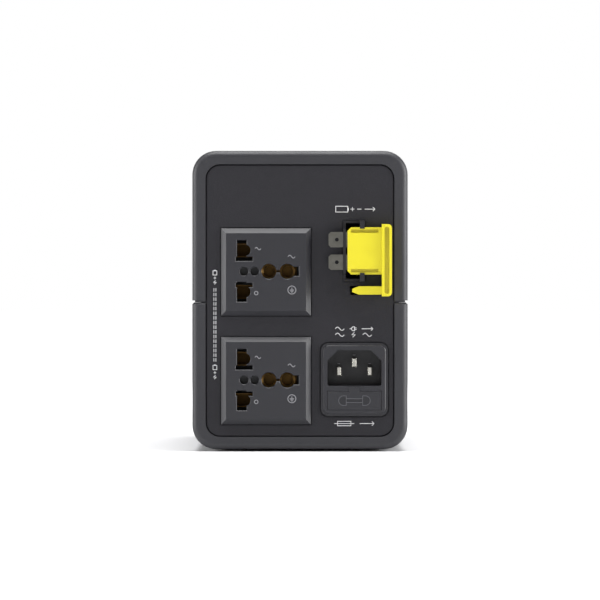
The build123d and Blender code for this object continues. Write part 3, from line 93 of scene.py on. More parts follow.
def new_material(name):
    """An empty node material, its tree, its output, and the object coordinates that its patterns read."""
    material = bpy.data.materials.get(name) or bpy.data.materials.new(name)
    material.use_nodes = True
    tree = material.node_tree
    tree.nodes.clear()
    output = add_node(tree, "ShaderNodeOutputMaterial")
    place = add_node(tree, "ShaderNodeTexCoord").outputs["Object"]
    return material, tree, output, place


def mottled(tree, place, colour, size_mm, spread):
    """A colour that soft noise of one size darkens at its lows and lightens at its highs, by spread each way."""
    noise = add_node(tree, "ShaderNodeTexNoise", {"Vector": place, "Scale": 1 / (size_mm * MM), "Detail": 3.0})
    ramp = add_node(tree, "ShaderNodeValToRGB", {"Fac": noise.outputs["Fac"]})
    low, high = ramp.color_ramp.elements
    low.position, high.position = 0.3, 0.7
    low.color = (*(c * (1 - spread) for c in colour[:3]), 1.0)
    high.color = (*(min(c * (1 + spread), 1.0) for c in colour[:3]), 1.0)
    return ramp.outputs["Color"]


def varied_roughness(tree, place, roughness, size_mm, spread):
    """A roughness that wear of one size takes up and down by spread."""
    wear = add_node(tree, "ShaderNodeTexNoise", {"Vector": place, "Scale": 1 / (size_mm * MM), "Detail": 4.0})
    reach = {"Value": wear.outputs["Fac"], "To Min": roughness - spread, "To Max": roughness + spread}
    return add_node(tree, "ShaderNodeMapRange", reach).outputs["Result"]


def finish_surface(tree, output, inputs):
    """The shader of a finish, linked to the material's output."""
    shader = add_node(tree, "ShaderNodeBsdfPrincipled", inputs)
    tree.links.new(shader.outputs["BSDF"], output.inputs["Surface"])


def moulded(name, hex_code, roughness, grain_mm=0.6, grain_depth_mm=0.02, specular=0.5, mottle=0.05):
    """A moulded plastic: noise bumps of the tool's spark-eroded grain, with an even sheen that handling varies."""
    material, tree, output, place = new_material(name)
    grain = add_node(
        tree, "ShaderNodeTexNoise", {"Vector": place, "Scale": 1 / (grain_mm * MM), "Detail": 2.0}
    )
    bump = add_node(tree, "ShaderNodeBump", {"Height": grain.outputs["Fac"], "Distance": grain_depth_mm * MM})
    finish_surface(
        tree,
        output,
        {
            "Base Color": mottled(tree, place, linear(hex_code), 30, mottle),
            "Roughness": varied_roughness(tree, place, roughness, 18, 0.05),
            "IOR": 1.53,
            "Specular IOR Level": specular,
            "Normal": bump.outputs["Normal"],
        },
    )
    return material


def worked_metal(
    name, hex_code, roughness, line_mm=0.3, stretch=(1.0, 8.0, 1.0), depth_mm=0.004, painted_shade_by=0.0, shade_depths=(0, 1)
):
    """A sheet or drawn metal: noise drawn out one way into rolling lines, and a faint uneven tarnish.

    Where it lies deep in a chamber, a painted shade darkens its colour from the first Y to the second, in place of
    the shade that falls there.
    """
    material, tree, output, place = new_material(name)
    along = add_node(tree, "ShaderNodeMapping", {"Vector": place, "Scale": stretch})
    lines = add_node(
        tree,
        "ShaderNodeTexNoise",
        {"Vector": along.outputs["Vector"], "Scale": 1 / (line_mm * MM), "Detail": 3.0},
    )
    bump = add_node(tree, "ShaderNodeBump", {"Height": lines.outputs["Fac"], "Distance": depth_mm * MM})
    colour = mottled(tree, place, linear(hex_code), 3, 0.1)
    # Painted shade: the colour is multiplied down with depth along Y, standing in for the shade inside the outlets'
    # chambers.
    if painted_shade_by:
        deep = add_node(tree, "ShaderNodeSeparateXYZ", {"Vector": place}).outputs["Y"]
        reach = {"Value": deep, "From Min": shade_depths[0], "From Max": shade_depths[1], "To Min": 1.0, "To Max": 1 - painted_shade_by}
        shade = add_node(tree, "ShaderNodeMapRange", reach).outputs["Result"]
        colour = add_node(tree, "ShaderNodeVectorMath", {0: colour, 1: shade}, operation="MULTIPLY").outputs[0]
    finish_surface(
        tree,
        output,
        {
            "Base Color": colour,
            "Roughness": varied_roughness(tree, place, roughness, 4, 0.07),
            "Metallic": 1.0,
            "Normal": bump.outputs["Normal"],
        },
    )
    return material


def clear_plastic(name, hex_code, roughness, ior):
    """A clear plastic or glass that lets most light through and tints it slightly."""
    material, tree, output, place = new_material(name)
    finish_surface(
        tree,
        output,
        {
            "Base Color": mottled(tree, place, linear(hex_code), 6, 0.02),
            "Roughness": roughness,
            "IOR": ior,
            "Transmission Weight": 0.85,
        },
    )
    return material


def nodes_of(slot_name):
    """The CAD nodes that the record gives one material slot."""
    found = [node for node, name in SLOT_OF.items() if name == slot_name]
    if not found:
        raise RuntimeError(f"the record has no node in material slot {slot_name}")
    return found


def dress(slot_name, material, nodes=None):
    """Gives a finish to every CAD node of one material slot, or to some of them, and puts it in each of the node's
    material slots.
    """
    for node in nodes or nodes_of(slot_name):
        piece = frame["nodes"][node]
        if not piece.material_slots:
            piece.data.materials.append(material)
        for held in piece.material_slots:
            held.material = material


# --- Flat marks, worked out with numpy ---


def ribbon(path, width, height, closed=False):
    """A flat bar along a path in u and v, standing to a height.

    At each point the bar's sides lie half its width away along the mitre, which is the mean of the normals of
    the runs before and after, drawn out so that the bar keeps its width round the corner.
    """
    path = np.asarray(path, dtype=float)
    if closed:
        before, after = np.roll(path, 1, axis=0), np.roll(path, -1, axis=0)
    else:
        before = np.vstack([2 * path[0] - path[1], path[:-1]])
        after = np.vstack([path[1:], 2 * path[-1] - path[-2]])
    run_in = (path - before) / np.linalg.norm(path - before, axis=1, keepdims=True)
    run_out = (after - path) / np.linalg.norm(after - path, axis=1, keepdims=True)
    normal_in = np.stack([-run_in[:, 1], run_in[:, 0]], axis=1)
    normal_out = np.stack([-run_out[:, 1], run_out[:, 0]], axis=1)
    mitre = normal_in + normal_out
    mitre /= np.linalg.norm(mitre, axis=1, keepdims=True)
    stretch = 1 / np.maximum((mitre * normal_in).sum(axis=1, keepdims=True), 0.5)
    side = mitre * stretch * width / 2
    low, high = np.zeros((len(path), 1)), np.full((len(path), 1), height)
    left, right = path + side, path - side
    profile = np.stack(
        [np.hstack([left, low]), np.hstack([left, high]), np.hstack([right, high]), np.hstack([right, low])],
        axis=1,
    )
    count = len(path)
    step = np.arange(count if closed else count - 1)
    i, k = (a.ravel() for a in np.meshgrid(step, np.arange(4), indexing="ij"))
    nxt, turn = (i + 1) % count, (k + 1) % 4
    faces = np.stack([4 * i + k, 4 * i + turn, 4 * nxt + turn, 4 * nxt + k], axis=1)
    if not closed:
        last = 4 * (count - 1)
        faces = np.vstack([faces, [[3, 2, 1, 0]], [[last, last + 1, last + 2, last + 3]]])
    return profile.reshape(-1, 3), faces


def arc(radius, start=0.0, turn=360.0, count=24, centre=(0.0, 0.0)):
    """Points on a circle: the centre plus the radius times the cosine and the sine of an even run of angles."""
    closed = abs(turn) >= 360
    angles = np.radians(start + turn * np.arange(count) / (count if closed else count - 1))
    return np.stack([centre[0] + radius * np.cos(angles), centre[1] + radius * np.sin(angles)], axis=1)


def wave(width, height, count=17):
    """One period of a sine: u runs evenly across the width, and v is half the height times the sine."""
    u = np.linspace(-0.5, 0.5, count)
    return np.stack([u * width, height / 2 * np.sin(2 * np.pi * (u + 0.5))], axis=1)


def battery_sign(width, height, stroke):
    """A cell: a closed rectangle with a short nub at its right end."""
    half_w, half_h = width / 2, height / 2
    box = [(-half_w, -half_h), (half_w, -half_h), (half_w, half_h), (-half_w, half_h)]
    nub = [(half_w + stroke, -half_h / 2), (half_w + stroke, half_h / 2)]
    return [(box, True), (nub, False)]


def plus_sign(size):
    """A cross of two bars of one length."""
    return [([(-size / 2, 0), (size / 2, 0)], False), ([(0, -size / 2), (0, size / 2)], False)]


def bolt_sign(width, height):
    """A lightning bolt: a zigzag of three runs."""
    return [([(width / 4, height / 2), (-width / 2, 0), (width / 2, 0), (-width / 4, -height / 2)], False)]


def arrow_sign(length, head):
    """An arrow to the right: a shaft, and a head of two runs."""
    half = length / 2
    return [([(-half, 0), (half, 0)], False), ([(half - head, head), (half, 0), (half - head, -head)], False)]


def plug_sign(size):
    """A plug: half a ring closed by a bar, two pins to the right and a lead to the left."""
    body = np.vstack([arc(size / 2, 90, 180, 12), [(size / 4, -size / 2), (size / 4, size / 2)]])
    pins = [([(size / 4, v), (size * 0.75, v)], False) for v in (-size / 5, size / 5)]
    return [(body, True), *pins, ([(-size, 0), (-size / 2, 0)], False)]


def fuse_sign(width, height):
    """A fuse: a closed rectangle with a line through its length."""
    half_w, half_h = width / 2, height / 2
    box = [(-half_w, -half_h), (half_w, -half_h), (half_w, half_h), (-half_w, half_h)]
    return [(box, True), ([(-half_w * 1.5, 0), (half_w * 1.5, 0)], False)]


def earth_sign(radius):
    """A protective earth: a ring round a stem that stands on three bars, each shorter than the one above."""
    bars = [
        ([(-radius * w, -radius * d), (radius * w, -radius * d)], False)
        for w, d in ((0.55, 0.02), (0.35, 0.3), (0.15, 0.58))
    ]
    return [(arc(radius), True), ([(0, radius * 0.6), (0, 0)], False), *bars]


def moved(strokes, u, v, turn=0.0):
    """Strokes turned by an angle in degrees and then moved in u and v."""
    c, s = math.cos(math.radians(turn)), math.sin(math.radians(turn))
    spin = np.array([[c, s], [-s, c]])
    return [(np.asarray(path, dtype=float) @ spin + (u, v), closed) for path, closed in strokes]


def add_piece(name, points, faces, material, smooth=False, body="case"):
    """A mesh from arrays of points and faces in the row frame, in one finish, that rides on a body."""
    mesh = bpy.data.meshes.new(name)
    mesh.from_pydata(points.tolist(), [], faces.tolist())
    mesh.materials.append(material)
    if smooth:
        mesh.set_sharp_from_angle(angle=math.radians(35))
    mesh.validate()
    piece = bpy.data.objects.new(name, mesh)
    bpy.context.scene.collection.objects.link(piece)
    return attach(piece, body)


def add_marks(name, strokes, stroke_mm, height_mm, surface_y, material, sink_mm=0.02, body="case"):
    """One mesh of marks on a face that looks to the rear: u is X, v is Z, and the height runs towards -Y.

    Strokes are in millimetres. Each starts a little inside the face, so that no gap shows under it.
    """
    points, faces, start = [], [], 0
    for path, closed in strokes:
        bar, quads = ribbon(path, stroke_mm, height_mm + sink_mm, closed)
        points.append(bar)
        faces.append(quads + start)
        start += len(bar)
    grid = np.vstack(points)
    grid[:, 2] -= sink_mm
    places = np.stack([grid[:, 0] * MM, surface_y - grid[:, 2] * MM, grid[:, 1] * MM], axis=1)
    return add_piece(name, places, np.vstack(faces), material, body=body)


# --- What a user can change ---


class PowerSupplyFinish(bpy.types.PropertyGroup):
    """Sheen, grain and marks of the power supply."""

    case_roughness: bpy.props.FloatProperty(
        name="Case roughness", description="How dull the two half shells are", default=0.5, min=0.1, max=1.0
    )
    grain: bpy.props.FloatProperty(
        name="Grain", description="Size of the moulded grain, in millimetres", default=0.7, min=0.1, max=4.0
    )
    grain_depth: bpy.props.FloatProperty(
        name="Grain depth", description="Depth of the moulded grain, in millimetres", default=0.05, min=0.0
    )
    print_stroke: bpy.props.FloatProperty(
        name="Print stroke", description="Width of the printed lines, in millimetres", default=0.26, min=0.05
    )
    mark_stroke: bpy.props.FloatProperty(
        name="Mark stroke", description="Width of the moulded lines, in millimetres", default=0.3, min=0.05
    )
    mark_height: bpy.props.FloatProperty(
        name="Mark height", description="How proud the moulded lines stand, in millimetres", default=0.12, min=0.01
    )


class PowerSupplyStudio(bpy.types.PropertyGroup):
    """Camera, lights and floor."""

    frame_width: bpy.props.FloatProperty(
        name="Frame width", description="Width seen at the object", default=0.27, subtype="DISTANCE", unit="LENGTH"
    )
    camera_distance: bpy.props.FloatProperty(
        name="Camera distance", description="From the camera to the rear face", default=2.5, unit="LENGTH"
    )
    aim_height: bpy.props.FloatProperty(
        name="Aim height", description="Height that the camera looks at", default=0.0682, unit="LENGTH"
    )
    sky: bpy.props.FloatProperty(
        name="Sky", description="Strength of the pale light from all round", default=0.27, min=0.0
    )
    top_power: bpy.props.FloatProperty(
        name="Top power", description="Power of the softbox overhead, in watts", default=24.0, min=0.0
    )
    right_power: bpy.props.FloatProperty(
        name="Right power", description="Power of the softbox on the right, in watts", default=20.0, min=0.0
    )
    left_power: bpy.props.FloatProperty(
        name="Left power", description="Power of the softbox on the left, in watts", default=13.0, min=0.0
    )
    front_power: bpy.props.FloatProperty(
        name="Front power", description="Power of the softbox before the button, in watts", default=10.0, min=0.0
    )
    floor_glow: bpy.props.FloatProperty(
        name="Floor glow", description="How brightly the far floor is lit from below", default=0.8, min=0.0
    )
    floor_colour: bpy.props.FloatVectorProperty(
        name="Floor", description="Colour of the floor", subtype="COLOR", size=3, default=(0.8, 0.8, 0.81)
    )


# --- One operator for each piece or group ---


class PieceOperator:
    """What the operators share: they can be undone, and they find their settings on the scene."""

    bl_options = {"REGISTER", "UNDO"}

    def finish(self, context):
        return context.scene.power_supply_finish


class POWER_SUPPLY_OT_case(PieceOperator, bpy.types.Operator):
    """Finish the half shells, the panels, the feet and the screws"""

    bl_idname = "power_supply.case"
    bl_label = "Case and panels"

    def execute(self, context):
        look = self.finish(context)
        # Black ABS moulded in a spark-eroded tool: a fine, even grain that breaks up the softbox's reflection.
        shell = moulded("Grained black ABS, shells", "212126", look.case_roughness, look.grain, look.grain_depth)
        dress("case_abs", shell)
        # The rear panel is the same resin from a rougher tool, so it looks flatter and slightly darker.
        panel = moulded("Grained black ABS, rear panel", "16151b", 0.6, look.grain, look.grain_depth * 1.3, 0.35)
        dress("panel_abs", panel)
        # The front has a finer grain and takes a soft sheen.
        dress("front_abs", moulded("Satin black ABS, front", "1c1c20", 0.38, 0.4, 0.012, 0.5))
        # Synthetic rubber is dull and nearly black, and dust lightens it a little.
        dress("rubber", moulded("Moulded rubber, feet", "1b1b1c", 0.85, 0.5, 0.03, 0.3, 0.2))
        # Bright zinc plate over steel gives a bluish, slightly clouded shine.
        dress("zinc_steel", worked_metal("Zinc-plated steel", "b9bcc0", 0.32))
        return {"FINISHED"}


class POWER_SUPPLY_OT_outlets(PieceOperator, bpy.types.Operator):
    """Finish the outlets and their contacts"""

    bl_idname = "power_supply.outlets"
    bl_label = "Outlets"

    def execute(self, context):
        # Fire-resistant polycarbonate from a smoother tool: its bevels catch a clear line of light.
        dress("socket_plastic", moulded("Satin polycarbonate, outlets and inlet", "1a1a20", 0.4, 0.5, 0.012, 0.5))
        # Stamped brass, bright where it was rolled, and darkened deeper in the outlets by painted shade.
        dress("brass", worked_metal("Stamped brass in painted shade, contacts", "b08a52", 0.34, painted_shade_by=0.8, shade_depths=self.shade_depths()))
        # The leaves behind the flat slots are given a dark brown all over as painted shade, so their edges do not
        # shine out of the holes.
        leaves = [node for node in nodes_of("brass") if node.endswith(("line_contact", "neutral_contact"))]
        dress("brass", worked_metal("Brass in painted shade, leaf contacts", "5c4628", 0.5), leaves)
        self.add_collars()
        return {"FINISHED"}

    def shade_depths(self):
        """The Y at which the painted shade on the contacts starts, a little inside their mouths, and at which it
        stops.
        """
        mouth_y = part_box("socket_lower_earth_contact")[0].y
        return mouth_y + 2 * MM, mouth_y + 13 * MM

    def add_collars(self):
        """A sprung collar round each earth hole, revolved from a rectangle: a point is the hole's centre plus the
        rectangle's radius times the cosine and the sine of the angle, at the rectangle's depth."""
        # The collars take the same brass, with its painted shade deeper in the holes.
        collar = bpy.data.materials["Stamped brass in painted shade, contacts"]
        corners = np.array([(2.5, 0.6), (3.5, 0.0), (3.5, 5.0), (2.5, 5.0)]) * MM
        turns, count = 48, len(corners)
        angles = np.linspace(0, 2 * np.pi, turns + 1)[:-1]
        for place in ("lower", "upper"):
            low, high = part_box(f"socket_{place}_face")
            x, z = (low.x + high.x) / 2, (low.z + high.z) / 2 + EARTH_HOLES_V * MM
            points, faces = [], []
            for u in EARTH_HOLES_U:
                radius, depth = corners[:, 0][None, :], corners[:, 1][None, :]
                turn = angles[:, None]
                ring = np.stack(
                    [
                        x + u * MM + radius * np.cos(turn),
                        high.y + depth + np.zeros_like(radius * turn),
                        z + radius * np.sin(turn),
                    ],
                    axis=-1,
                )
                i, k = (g.ravel() for g in np.meshgrid(np.arange(turns), np.arange(count), indexing="ij"))
                after, step = (i + 1) % turns, (k + 1) % count
                start = len(points) * turns * count
                here, there = count * i, count * after
                faces.append(np.stack([here + k, here + step, there + step, there + k], axis=1) + start)
                points.append(ring.reshape(-1, 3))
            add_piece(f"socket_{place}_earth_collars", np.vstack(points), np.vstack(faces), collar, smooth=True)


class POWER_SUPPLY_OT_inlet(PieceOperator, bpy.types.Operator):
    """Finish the inlet's pins and fuse"""

    bl_idname = "power_supply.inlet"
    bl_label = "Inlet and fuse"

    def execute(self, context):
        # Nickel over brass gives a warm grey mirror with fine drawing lines.
        dress("nickel_brass", worked_metal("Nickel-plated brass", "c2c0b8", 0.22, 0.25, (1.0, 0.1, 1.0)))
        # Thin glass, clear with a faint green edge.
        dress("fuse_glass", clear_plastic("Fuse glass", "eef5f3", 0.03, 1.5))
        return {"FINISHED"}


class POWER_SUPPLY_OT_battery_connector(PieceOperator, bpy.types.Operator):
    """Finish the yellow plug and its blades"""

    bl_idname = "power_supply.battery_connector"
    bl_label = "Battery connector"

    def execute(self, context):
        # Yellow polypropylene: a smooth, bright skin with a broad sheen, deeper in its channels.
        dress("yellow_plastic", moulded("Yellow polypropylene, plug", "d0c418", 0.36, 0.8, 0.01, 0.5, 0.03))
        # Matt tin over brass keeps a soft grey gleam.
        dress("tinned_brass", worked_metal("Tinned brass, blades", "6c6b65", 0.34, 0.3, (8.0, 1.0, 1.0)))
        return {"FINISHED"}


class POWER_SUPPLY_OT_front_controls(PieceOperator, bpy.types.Operator):
    """Finish the button, its switch and the lights"""

    bl_idname = "power_supply.front_controls"
    bl_label = "Button and lights"

    def execute(self, context):
        # The button is polished, so its domed edge carries a sharp highlight.
        dress("button_abs", moulded("Polished black ABS, button", "1d1d20", 0.18, 0.8, 0.002, 0.5))
        dress("black_plastic", moulded("Matt black nylon", "18181a", 0.6, 0.5, 0.01, 0.4))
        # Moulded polycarbonate passes the light of the lamps behind it.
        dress("clear_polycarbonate", clear_plastic("Clear polycarbonate, light pipe", "dfeee6", 0.12, 1.585))
        return {"FINISHED"}


class POWER_SUPPLY_OT_battery(PieceOperator, bpy.types.Operator):
    """Finish the battery"""

    bl_idname = "power_supply.battery"
    bl_label = "Battery"

    def execute(self, context):
        # The battery's box is plain grey-black ABS with a slight gloss.
        dress("battery_abs", moulded("Dark grey ABS, battery", "2c2d31", 0.42, 0.8, 0.01, 0.5))
        # Pasted lead plates are dull, grey and slightly rough.
        dress("battery_plate", worked_metal("Pasted lead plate", "6f7276", 0.65, 0.8, (1.0, 1.0, 1.0), 0.03))
        dress("foam", moulded("Closed-cell foam, pads", "2a2a2c", 0.95, 0.9, 0.12, 0.2, 0.15))
        return {"FINISHED"}


class POWER_SUPPLY_OT_transformer(PieceOperator, bpy.types.Operator):
    """Finish the transformer"""

    bl_idname = "power_supply.transformer"
    bl_label = "Transformer"

    def execute(self, context):
        # Varnished steel sheets: dark, with a fine line at each sheet's edge.
        dress("core_steel", worked_metal("Varnished steel laminations", "4a4b50", 0.42, 0.5, (0.1, 1.0, 0.1), 0.03))
        dress("bobbin_nylon", moulded("Natural nylon, bobbin", "d9d4c4", 0.45, 0.7, 0.01, 0.5))
        # Enamelled copper wire: turns lie level, so the lines run round the coil, one to each turn.
        dress("enamelled_copper", worked_metal("Enamelled copper wire", "b4602c", 0.26, 0.6, (0.05, 0.05, 1.0), 0.08))
        return {"FINISHED"}


class POWER_SUPPLY_OT_boards_and_leads(PieceOperator, bpy.types.Operator):
    """Finish the circuit boards, what stands on them and the leads"""

    bl_idname = "power_supply.boards_and_leads"
    bl_label = "Boards and leads"

    def execute(self, context):
        # Green solder resist over woven glass: glossy, with faint weave under it.
        dress("circuit_board", moulded("Green solder resist", "1c5a34", 0.25, 1.0, 0.01, 0.5, 0.18))
        # Extruded aluminium with a satin skin.
        dress("aluminium", worked_metal("Extruded aluminium, heat sink", "b9bbbf", 0.38, 0.3, (1.0, 1.0, 0.1)))
        dress("relay_plastic", moulded("Orange polyester, relays", "c76a24", 0.4, 0.8, 0.008))
        dress("capacitor_sleeve", moulded("Printed sleeve, capacitors", "26304f", 0.32, 0.8, 0.004))
        dress("white_nylon", moulded("White nylon, connectors", "e6e4dc", 0.42, 0.6, 0.008))
        # Lead insulation is soft PVC, whose skin has a low, waxy sheen.
        for colour, hex_code in (
            ("red", "a81a1c"),
            ("black", "161617"),
            ("brown", "5a3420"),
            ("blue", "2a55a8"),
            ("green", "3f8a2c"),
            ("white", "d9d8d2"),
        ):
            dress(f"{colour}_pvc", moulded(f"{colour.capitalize()} PVC, leads", hex_code, 0.42, 0.9, 0.01, 0.4))
        return {"FINISHED"}


class POWER_SUPPLY_OT_rear_prints(PieceOperator, bpy.types.Operator):
    """Print the plain signs on the rear panel"""

    bl_idname = "power_supply.rear_prints"
    bl_label = "Rear prints"

    def execute(self, context):
        look = self.finish(context)
        # Screen-printed ink: thin, off-white and matt.
        ink = moulded("White screen-printed ink", "d2d2d4", 0.7, 0.4, 0.003, 0.3, 0.08)
        face_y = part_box("rear_panel")[0].y
        port_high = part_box("battery_port")[1] / MM
        port_x = (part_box("port_contacts")[0].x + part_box("port_contacts")[1].x) / 2 / MM
        inlet_low, inlet_high = (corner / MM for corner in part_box("inlet_body"))
        inlet_x = (inlet_low.x + inlet_high.x) / 2
        strip_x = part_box("socket_lower_face")[0].x / MM - 2.8
        lower_z, upper_z = (
            (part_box(f"socket_{place}_face")[0].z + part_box(f"socket_{place}_face")[1].z) / 2 / MM
            for place in ("lower", "upper")
        )
        # Over the battery connector: a cell, a plus, a minus and an arrow.
        rise = 5.1
        port_top = port_high.z - 2.0
        strokes = moved(battery_sign(5.4, 2.6, look.print_stroke), port_x - 5.6, port_top + rise)
        strokes += moved(plus_sign(1.7), port_x - 0.8, port_top + rise)
        strokes += moved([([(-0.9, 0), (0.9, 0)], False)], port_x + 2.3, port_top + rise)
        strokes += moved(arrow_sign(4.6, 0.9), port_x + 7.0, port_top + rise)
        # Over the inlet: a wave, a plug and an arrow, and below them a bolt between two waves.
        for row, rise in enumerate((6.45, 3.75)):
            level = inlet_high.z + rise
            strokes += moved([(wave(4.0, 1.5), False)], inlet_x - 6.6, level)
            strokes += moved(plug_sign(1.8) if row == 0 else bolt_sign(1.5, 2.2), inlet_x - 0.4, level)
            strokes += moved([(wave(4.0, 1.5), False)] if row else arrow_sign(5.0, 0.8), inlet_x + 5.8, level)
        # Under the inlet: the sign of a fuse, and an arrow.
        level = inlet_low.z - 3.4
        strokes += moved(fuse_sign(6.0, 2.0), inlet_x - 4.6, level)
        strokes += moved(arrow_sign(6.4, 0.9), inlet_x + 5.6, level)
        # Beside the outlets: a cell, a plus and a bolt by each, and two dashed lines that join them.
        for z in (upper_z - 0.4, lower_z + 5.9):
            strokes += moved(battery_sign(1.9, 1.7, look.print_stroke), strip_x, z, 90)
            strokes += moved(plus_sign(1.2), strip_x, z - 2.3)
            strokes += moved(bolt_sign(1.2, 1.7), strip_x, z - 4.3)
        top, bottom = upper_z - 6.8, lower_z + 8.6
        dashes = np.arange(bottom, top, 2.1)
        for x in (strip_x - 0.45, strip_x + 0.45):
            strokes += [([(x, z), (x, z + 1.5)], False) for z in dashes]
        add_marks("rear_panel_prints", strokes, look.print_stroke, 0.03, face_y, ink)
        return {"FINISHED"}


class POWER_SUPPLY_OT_outlet_marks(PieceOperator, bpy.types.Operator):
    """Raise the plain signs on the outlets and in the inlet"""

    bl_idname = "power_supply.outlet_marks"
    bl_label = "Outlet marks"

    def execute(self, context):
        look = self.finish(context)
        # The signs are moulded with the face, and they are coloured much paler than the face, a painted highlight
        # where their raised lines would catch the light.
        material = moulded("Polycarbonate, signs in painted highlight", "8c8c90", 0.5, 0.4, 0.004)
        for place in ("lower", "upper"):
            low, high = (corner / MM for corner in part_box(f"socket_{place}_face"))
            x, z = (low.x + high.x) / 2, (low.z + high.z) / 2
            strokes = moved([(wave(2.6, 1.1), False)], x - 3.65, z + 10.5)
            strokes += moved([(wave(3.2, 1.3), False)], x + 11.5, z + 6.9)
            strokes += moved(earth_sign(1.8), x + 11.65, z - 8.1)
            strokes += moved([(arc(0.8), True)], x - 4.4, z - 9.5)
            add_marks(f"outlet_{place}_marks", strokes, look.mark_stroke, look.mark_height, low.y * MM, material)
        self.mark_pins(look, material)
        self.paint_drawer_sign_highlight(look)
        return {"FINISHED"}

    def paint_drawer_sign_highlight(self, look):
        """The rim of the drawer's sunk fuse sign: a half ring closed by its flat at each end, and the bar's edges.

        It reaches down to the floor of the sign, and it is coloured a little paler than the drawer, a painted
        highlight on the sign's edges, so that the sign reads from straight on.
        """
        # Paler than the drawer: a painted highlight on the edges of the sunk sign.
        material = moulded("Polycarbonate, drawer sign in painted highlight", "56565c", 0.5, 0.4, 0.004)
        low, high = (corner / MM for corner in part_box("fuse_drawer"))
        strokes = [([(-SIGN_FLAT, v), (SIGN_FLAT, v)], False) for v in (-SIGN_BAR, SIGN_BAR)]
        for side, start in ((1, -90), (-1, 90)):
            bow = arc(SIGN_RADIUS, start, 180, 12, (side * SIGN_CENTRE, 0.0))
            flat = [(side * SIGN_FLAT, bow[-1, 1]), (side * SIGN_FLAT, bow[0, 1])]
            strokes.append((np.vstack([bow, flat]), True))
        strokes = moved(strokes, (low.x + high.x) / 2, low.z + DRAWER_HEIGHT / 2)
        name = "fuse_drawer_sign_painted_highlight"
        add_marks(name, strokes, 0.22, look.mark_height, low.y * MM, material, sink_mm=0.42, body="fuse_drawer")

    def mark_pins(self, look, material):
        """A short bar on the floor of the inlet's well above each pin."""
        floor_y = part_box("inlet_body")[0].y + WELL_DEPTH * MM
        strokes = []
        for pin in ("line", "neutral", "earth"):
            low, high = (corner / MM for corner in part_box(f"inlet_{pin}_pin"))
            strokes += moved([([(-0.6, 0), (0.6, 0)], False)], (low.x + high.x) / 2, high.z + 1.3)
        # The bars take the signs' paler finish, a painted highlight.
        add_marks("inlet_pin_marks", strokes, look.mark_stroke, look.mark_height, floor_y, material)


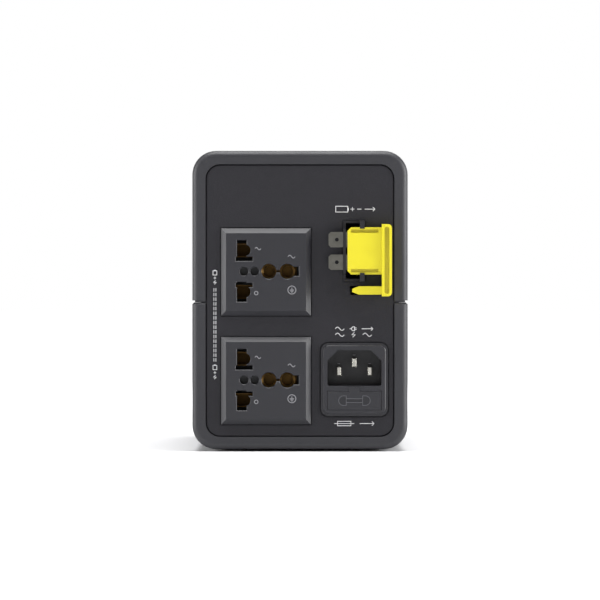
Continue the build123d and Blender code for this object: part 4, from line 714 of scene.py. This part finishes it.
class POWER_SUPPLY_OT_studio(bpy.types.Operator):
    """Lay the floor, hang the softboxes and place the camera"""

    bl_idname = "power_supply.studio"
    bl_label = "Studio"
    bl_options = {"REGISTER", "UNDO"}

    def execute(self, context):
        settings = context.scene.power_supply_studio
        rear_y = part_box("upper_shell")[0].y
        self.lay_floor(context, settings)
        aim = (0.0, 0.0, settings.aim_height)
        self.hang_softbox(context, "Softbox, overhead", (0.0, rear_y - 0.1, 1.3), aim, 0.9, settings.top_power)
        self.hang_softbox(context, "Softbox, right", (1.2, rear_y - 0.25, 0.3), aim, 0.8, settings.right_power)
        self.hang_softbox(context, "Softbox, left", (-1.2, rear_y - 0.25, 0.3), aim, 0.8, settings.left_power)
        self.hang_softbox(context, "Softbox, front", (0.3, -rear_y + 1.3, 0.9), aim, 1.0, settings.front_power)
        self.light_sky(context, settings)
        data = bpy.data.cameras.new("Studio camera")
        data.sensor_width = 36.0
        data.lens = data.sensor_width * settings.camera_distance / settings.frame_width
        data.clip_end = 100.0
        camera = bpy.data.objects.new("Studio camera", data)
        camera.location = (0.0, rear_y - settings.camera_distance, settings.aim_height)
        camera.rotation_euler = (math.radians(90), 0.0, 0.0)
        context.scene.collection.objects.link(camera)
        context.scene.camera = camera
        context.scene.view_settings.view_transform = "Standard"
        return {"FINISHED"}

    def lay_floor(self, context, settings):
        """A round floor on a polar grid: a point is its radius times the cosine and the sine of its angle."""
        spokes = 64
        radii, angles = np.linspace(0.05, 30.0, 12), np.linspace(0, 2 * np.pi, spokes + 1)[:-1]
        r, a = np.meshgrid(radii, angles, indexing="ij")
        rings = np.stack([r * np.cos(a), r * np.sin(a), np.zeros_like(r)], axis=-1).reshape(-1, 3)
        points = np.vstack([rings, [[0.0, 0.0, 0.0]]])
        i, k = (g.ravel() for g in np.meshgrid(np.arange(len(radii) - 1), np.arange(spokes), indexing="ij"))
        turn, inner, outer = (k + 1) % spokes, spokes * i, spokes * (i + 1)
        quads = np.stack([inner + k, outer + k, outer + turn, inner + turn], axis=1)
        k = np.arange(spokes)
        hub = np.stack([np.full(spokes, len(rings)), k, (k + 1) % spokes], axis=1)
        mesh = bpy.data.meshes.new("Studio floor")
        mesh.from_pydata(points.tolist(), [], quads.tolist() + hub.tolist())
        material, tree, output, place = new_material("Pale studio floor")
        # The floor glows more the further it is from the object, as a light table does, so it meets the sky unseen.
        colour = (*settings.floor_colour, 1.0)
        away = add_node(tree, "ShaderNodeVectorMath", {0: place}, operation="LENGTH").outputs["Value"]
        reach = {"Value": away, "From Min": 0.3, "From Max": 1.2, "To Min": 0.0, "To Max": settings.floor_glow}
        glow = add_node(tree, "ShaderNodeMapRange", reach, interpolation_type="SMOOTHSTEP")
        surface = {
            "Base Color": mottled(tree, place, colour, 600, 0.01),
            "Roughness": 0.9,
            "Emission Color": (1.0, 1.0, 1.0, 1.0),
            "Emission Strength": glow.outputs["Result"],
        }
        finish_surface(tree, output, surface)
        mesh.materials.append(material)
        floor = bpy.data.objects.new("Studio floor", mesh)
        context.scene.collection.objects.link(floor)

    def hang_softbox(self, context, name, place, aim, size, power):
        """A square softbox at a place, turned to face the object."""
        data = bpy.data.lights.new(name, "AREA")
        data.shape = "SQUARE"
        data.size = size
        data.energy = power
        lamp = bpy.data.objects.new(name, data)
        lamp.location = place
        lamp.rotation_euler = (Vector(place) - Vector(aim)).to_track_quat("Z", "Y").to_euler()
        context.scene.collection.objects.link(lamp)

    def light_sky(self, context, settings):
        """A pale, even sky that looks white behind the object and lights it more softly."""
        world = bpy.data.worlds.new("Pale studio sky")
        world.use_nodes = True
        tree = world.node_tree
        tree.nodes.clear()
        seen = add_node(tree, "ShaderNodeLightPath").outputs["Is Camera Ray"]
        light = add_node(tree, "ShaderNodeBackground", {"Color": (1, 1, 1, 1), "Strength": settings.sky})
        backdrop = add_node(tree, "ShaderNodeBackground", {"Color": (1, 1, 1, 1), "Strength": 1.0})
        mix = add_node(tree, "ShaderNodeMixShader", {0: seen, 1: light.outputs[0], 2: backdrop.outputs[0]})
        output = add_node(tree, "ShaderNodeOutputWorld")
        tree.links.new(mix.outputs[0], output.inputs["Surface"])
        context.scene.world = world


PIECES = (
    POWER_SUPPLY_OT_case,
    POWER_SUPPLY_OT_outlets,
    POWER_SUPPLY_OT_inlet,
    POWER_SUPPLY_OT_battery_connector,
    POWER_SUPPLY_OT_front_controls,
    POWER_SUPPLY_OT_battery,
    POWER_SUPPLY_OT_transformer,
    POWER_SUPPLY_OT_boards_and_leads,
    POWER_SUPPLY_OT_rear_prints,
    POWER_SUPPLY_OT_outlet_marks,
    POWER_SUPPLY_OT_studio,
)


class POWER_SUPPLY_PT_sidebar(bpy.types.Panel):
    """The power supply's settings and its operators"""

    bl_idname = "POWER_SUPPLY_PT_sidebar"
    bl_label = "Power supply"
    bl_space_type = "VIEW_3D"
    bl_region_type = "UI"
    bl_category = "Power supply"

    def draw(self, context):
        for settings in (context.scene.power_supply_finish, context.scene.power_supply_studio):
            column = self.layout.column(align=True)
            for name in settings.__annotations__:
                column.prop(settings, name)
        column = self.layout.column(align=True)
        for piece in PIECES:
            column.operator(piece.bl_idname)


CLASSES = (PowerSupplyFinish, PowerSupplyStudio, *PIECES, POWER_SUPPLY_PT_sidebar)


def register():
    for cls in CLASSES:
        bpy.utils.register_class(cls)
    bpy.types.Scene.power_supply_finish = bpy.props.PointerProperty(type=PowerSupplyFinish)
    bpy.types.Scene.power_supply_studio = bpy.props.PointerProperty(type=PowerSupplyStudio)


def unregister():
    del bpy.types.Scene.power_supply_studio
    del bpy.types.Scene.power_supply_finish
    for cls in reversed(CLASSES):
        bpy.utils.unregister_class(cls)


def main():
    register()
    for piece in PIECES:
        group, name = piece.bl_idname.split(".")
        getattr(getattr(bpy.ops, group), name)()


if __name__ == "__main__":
    main()
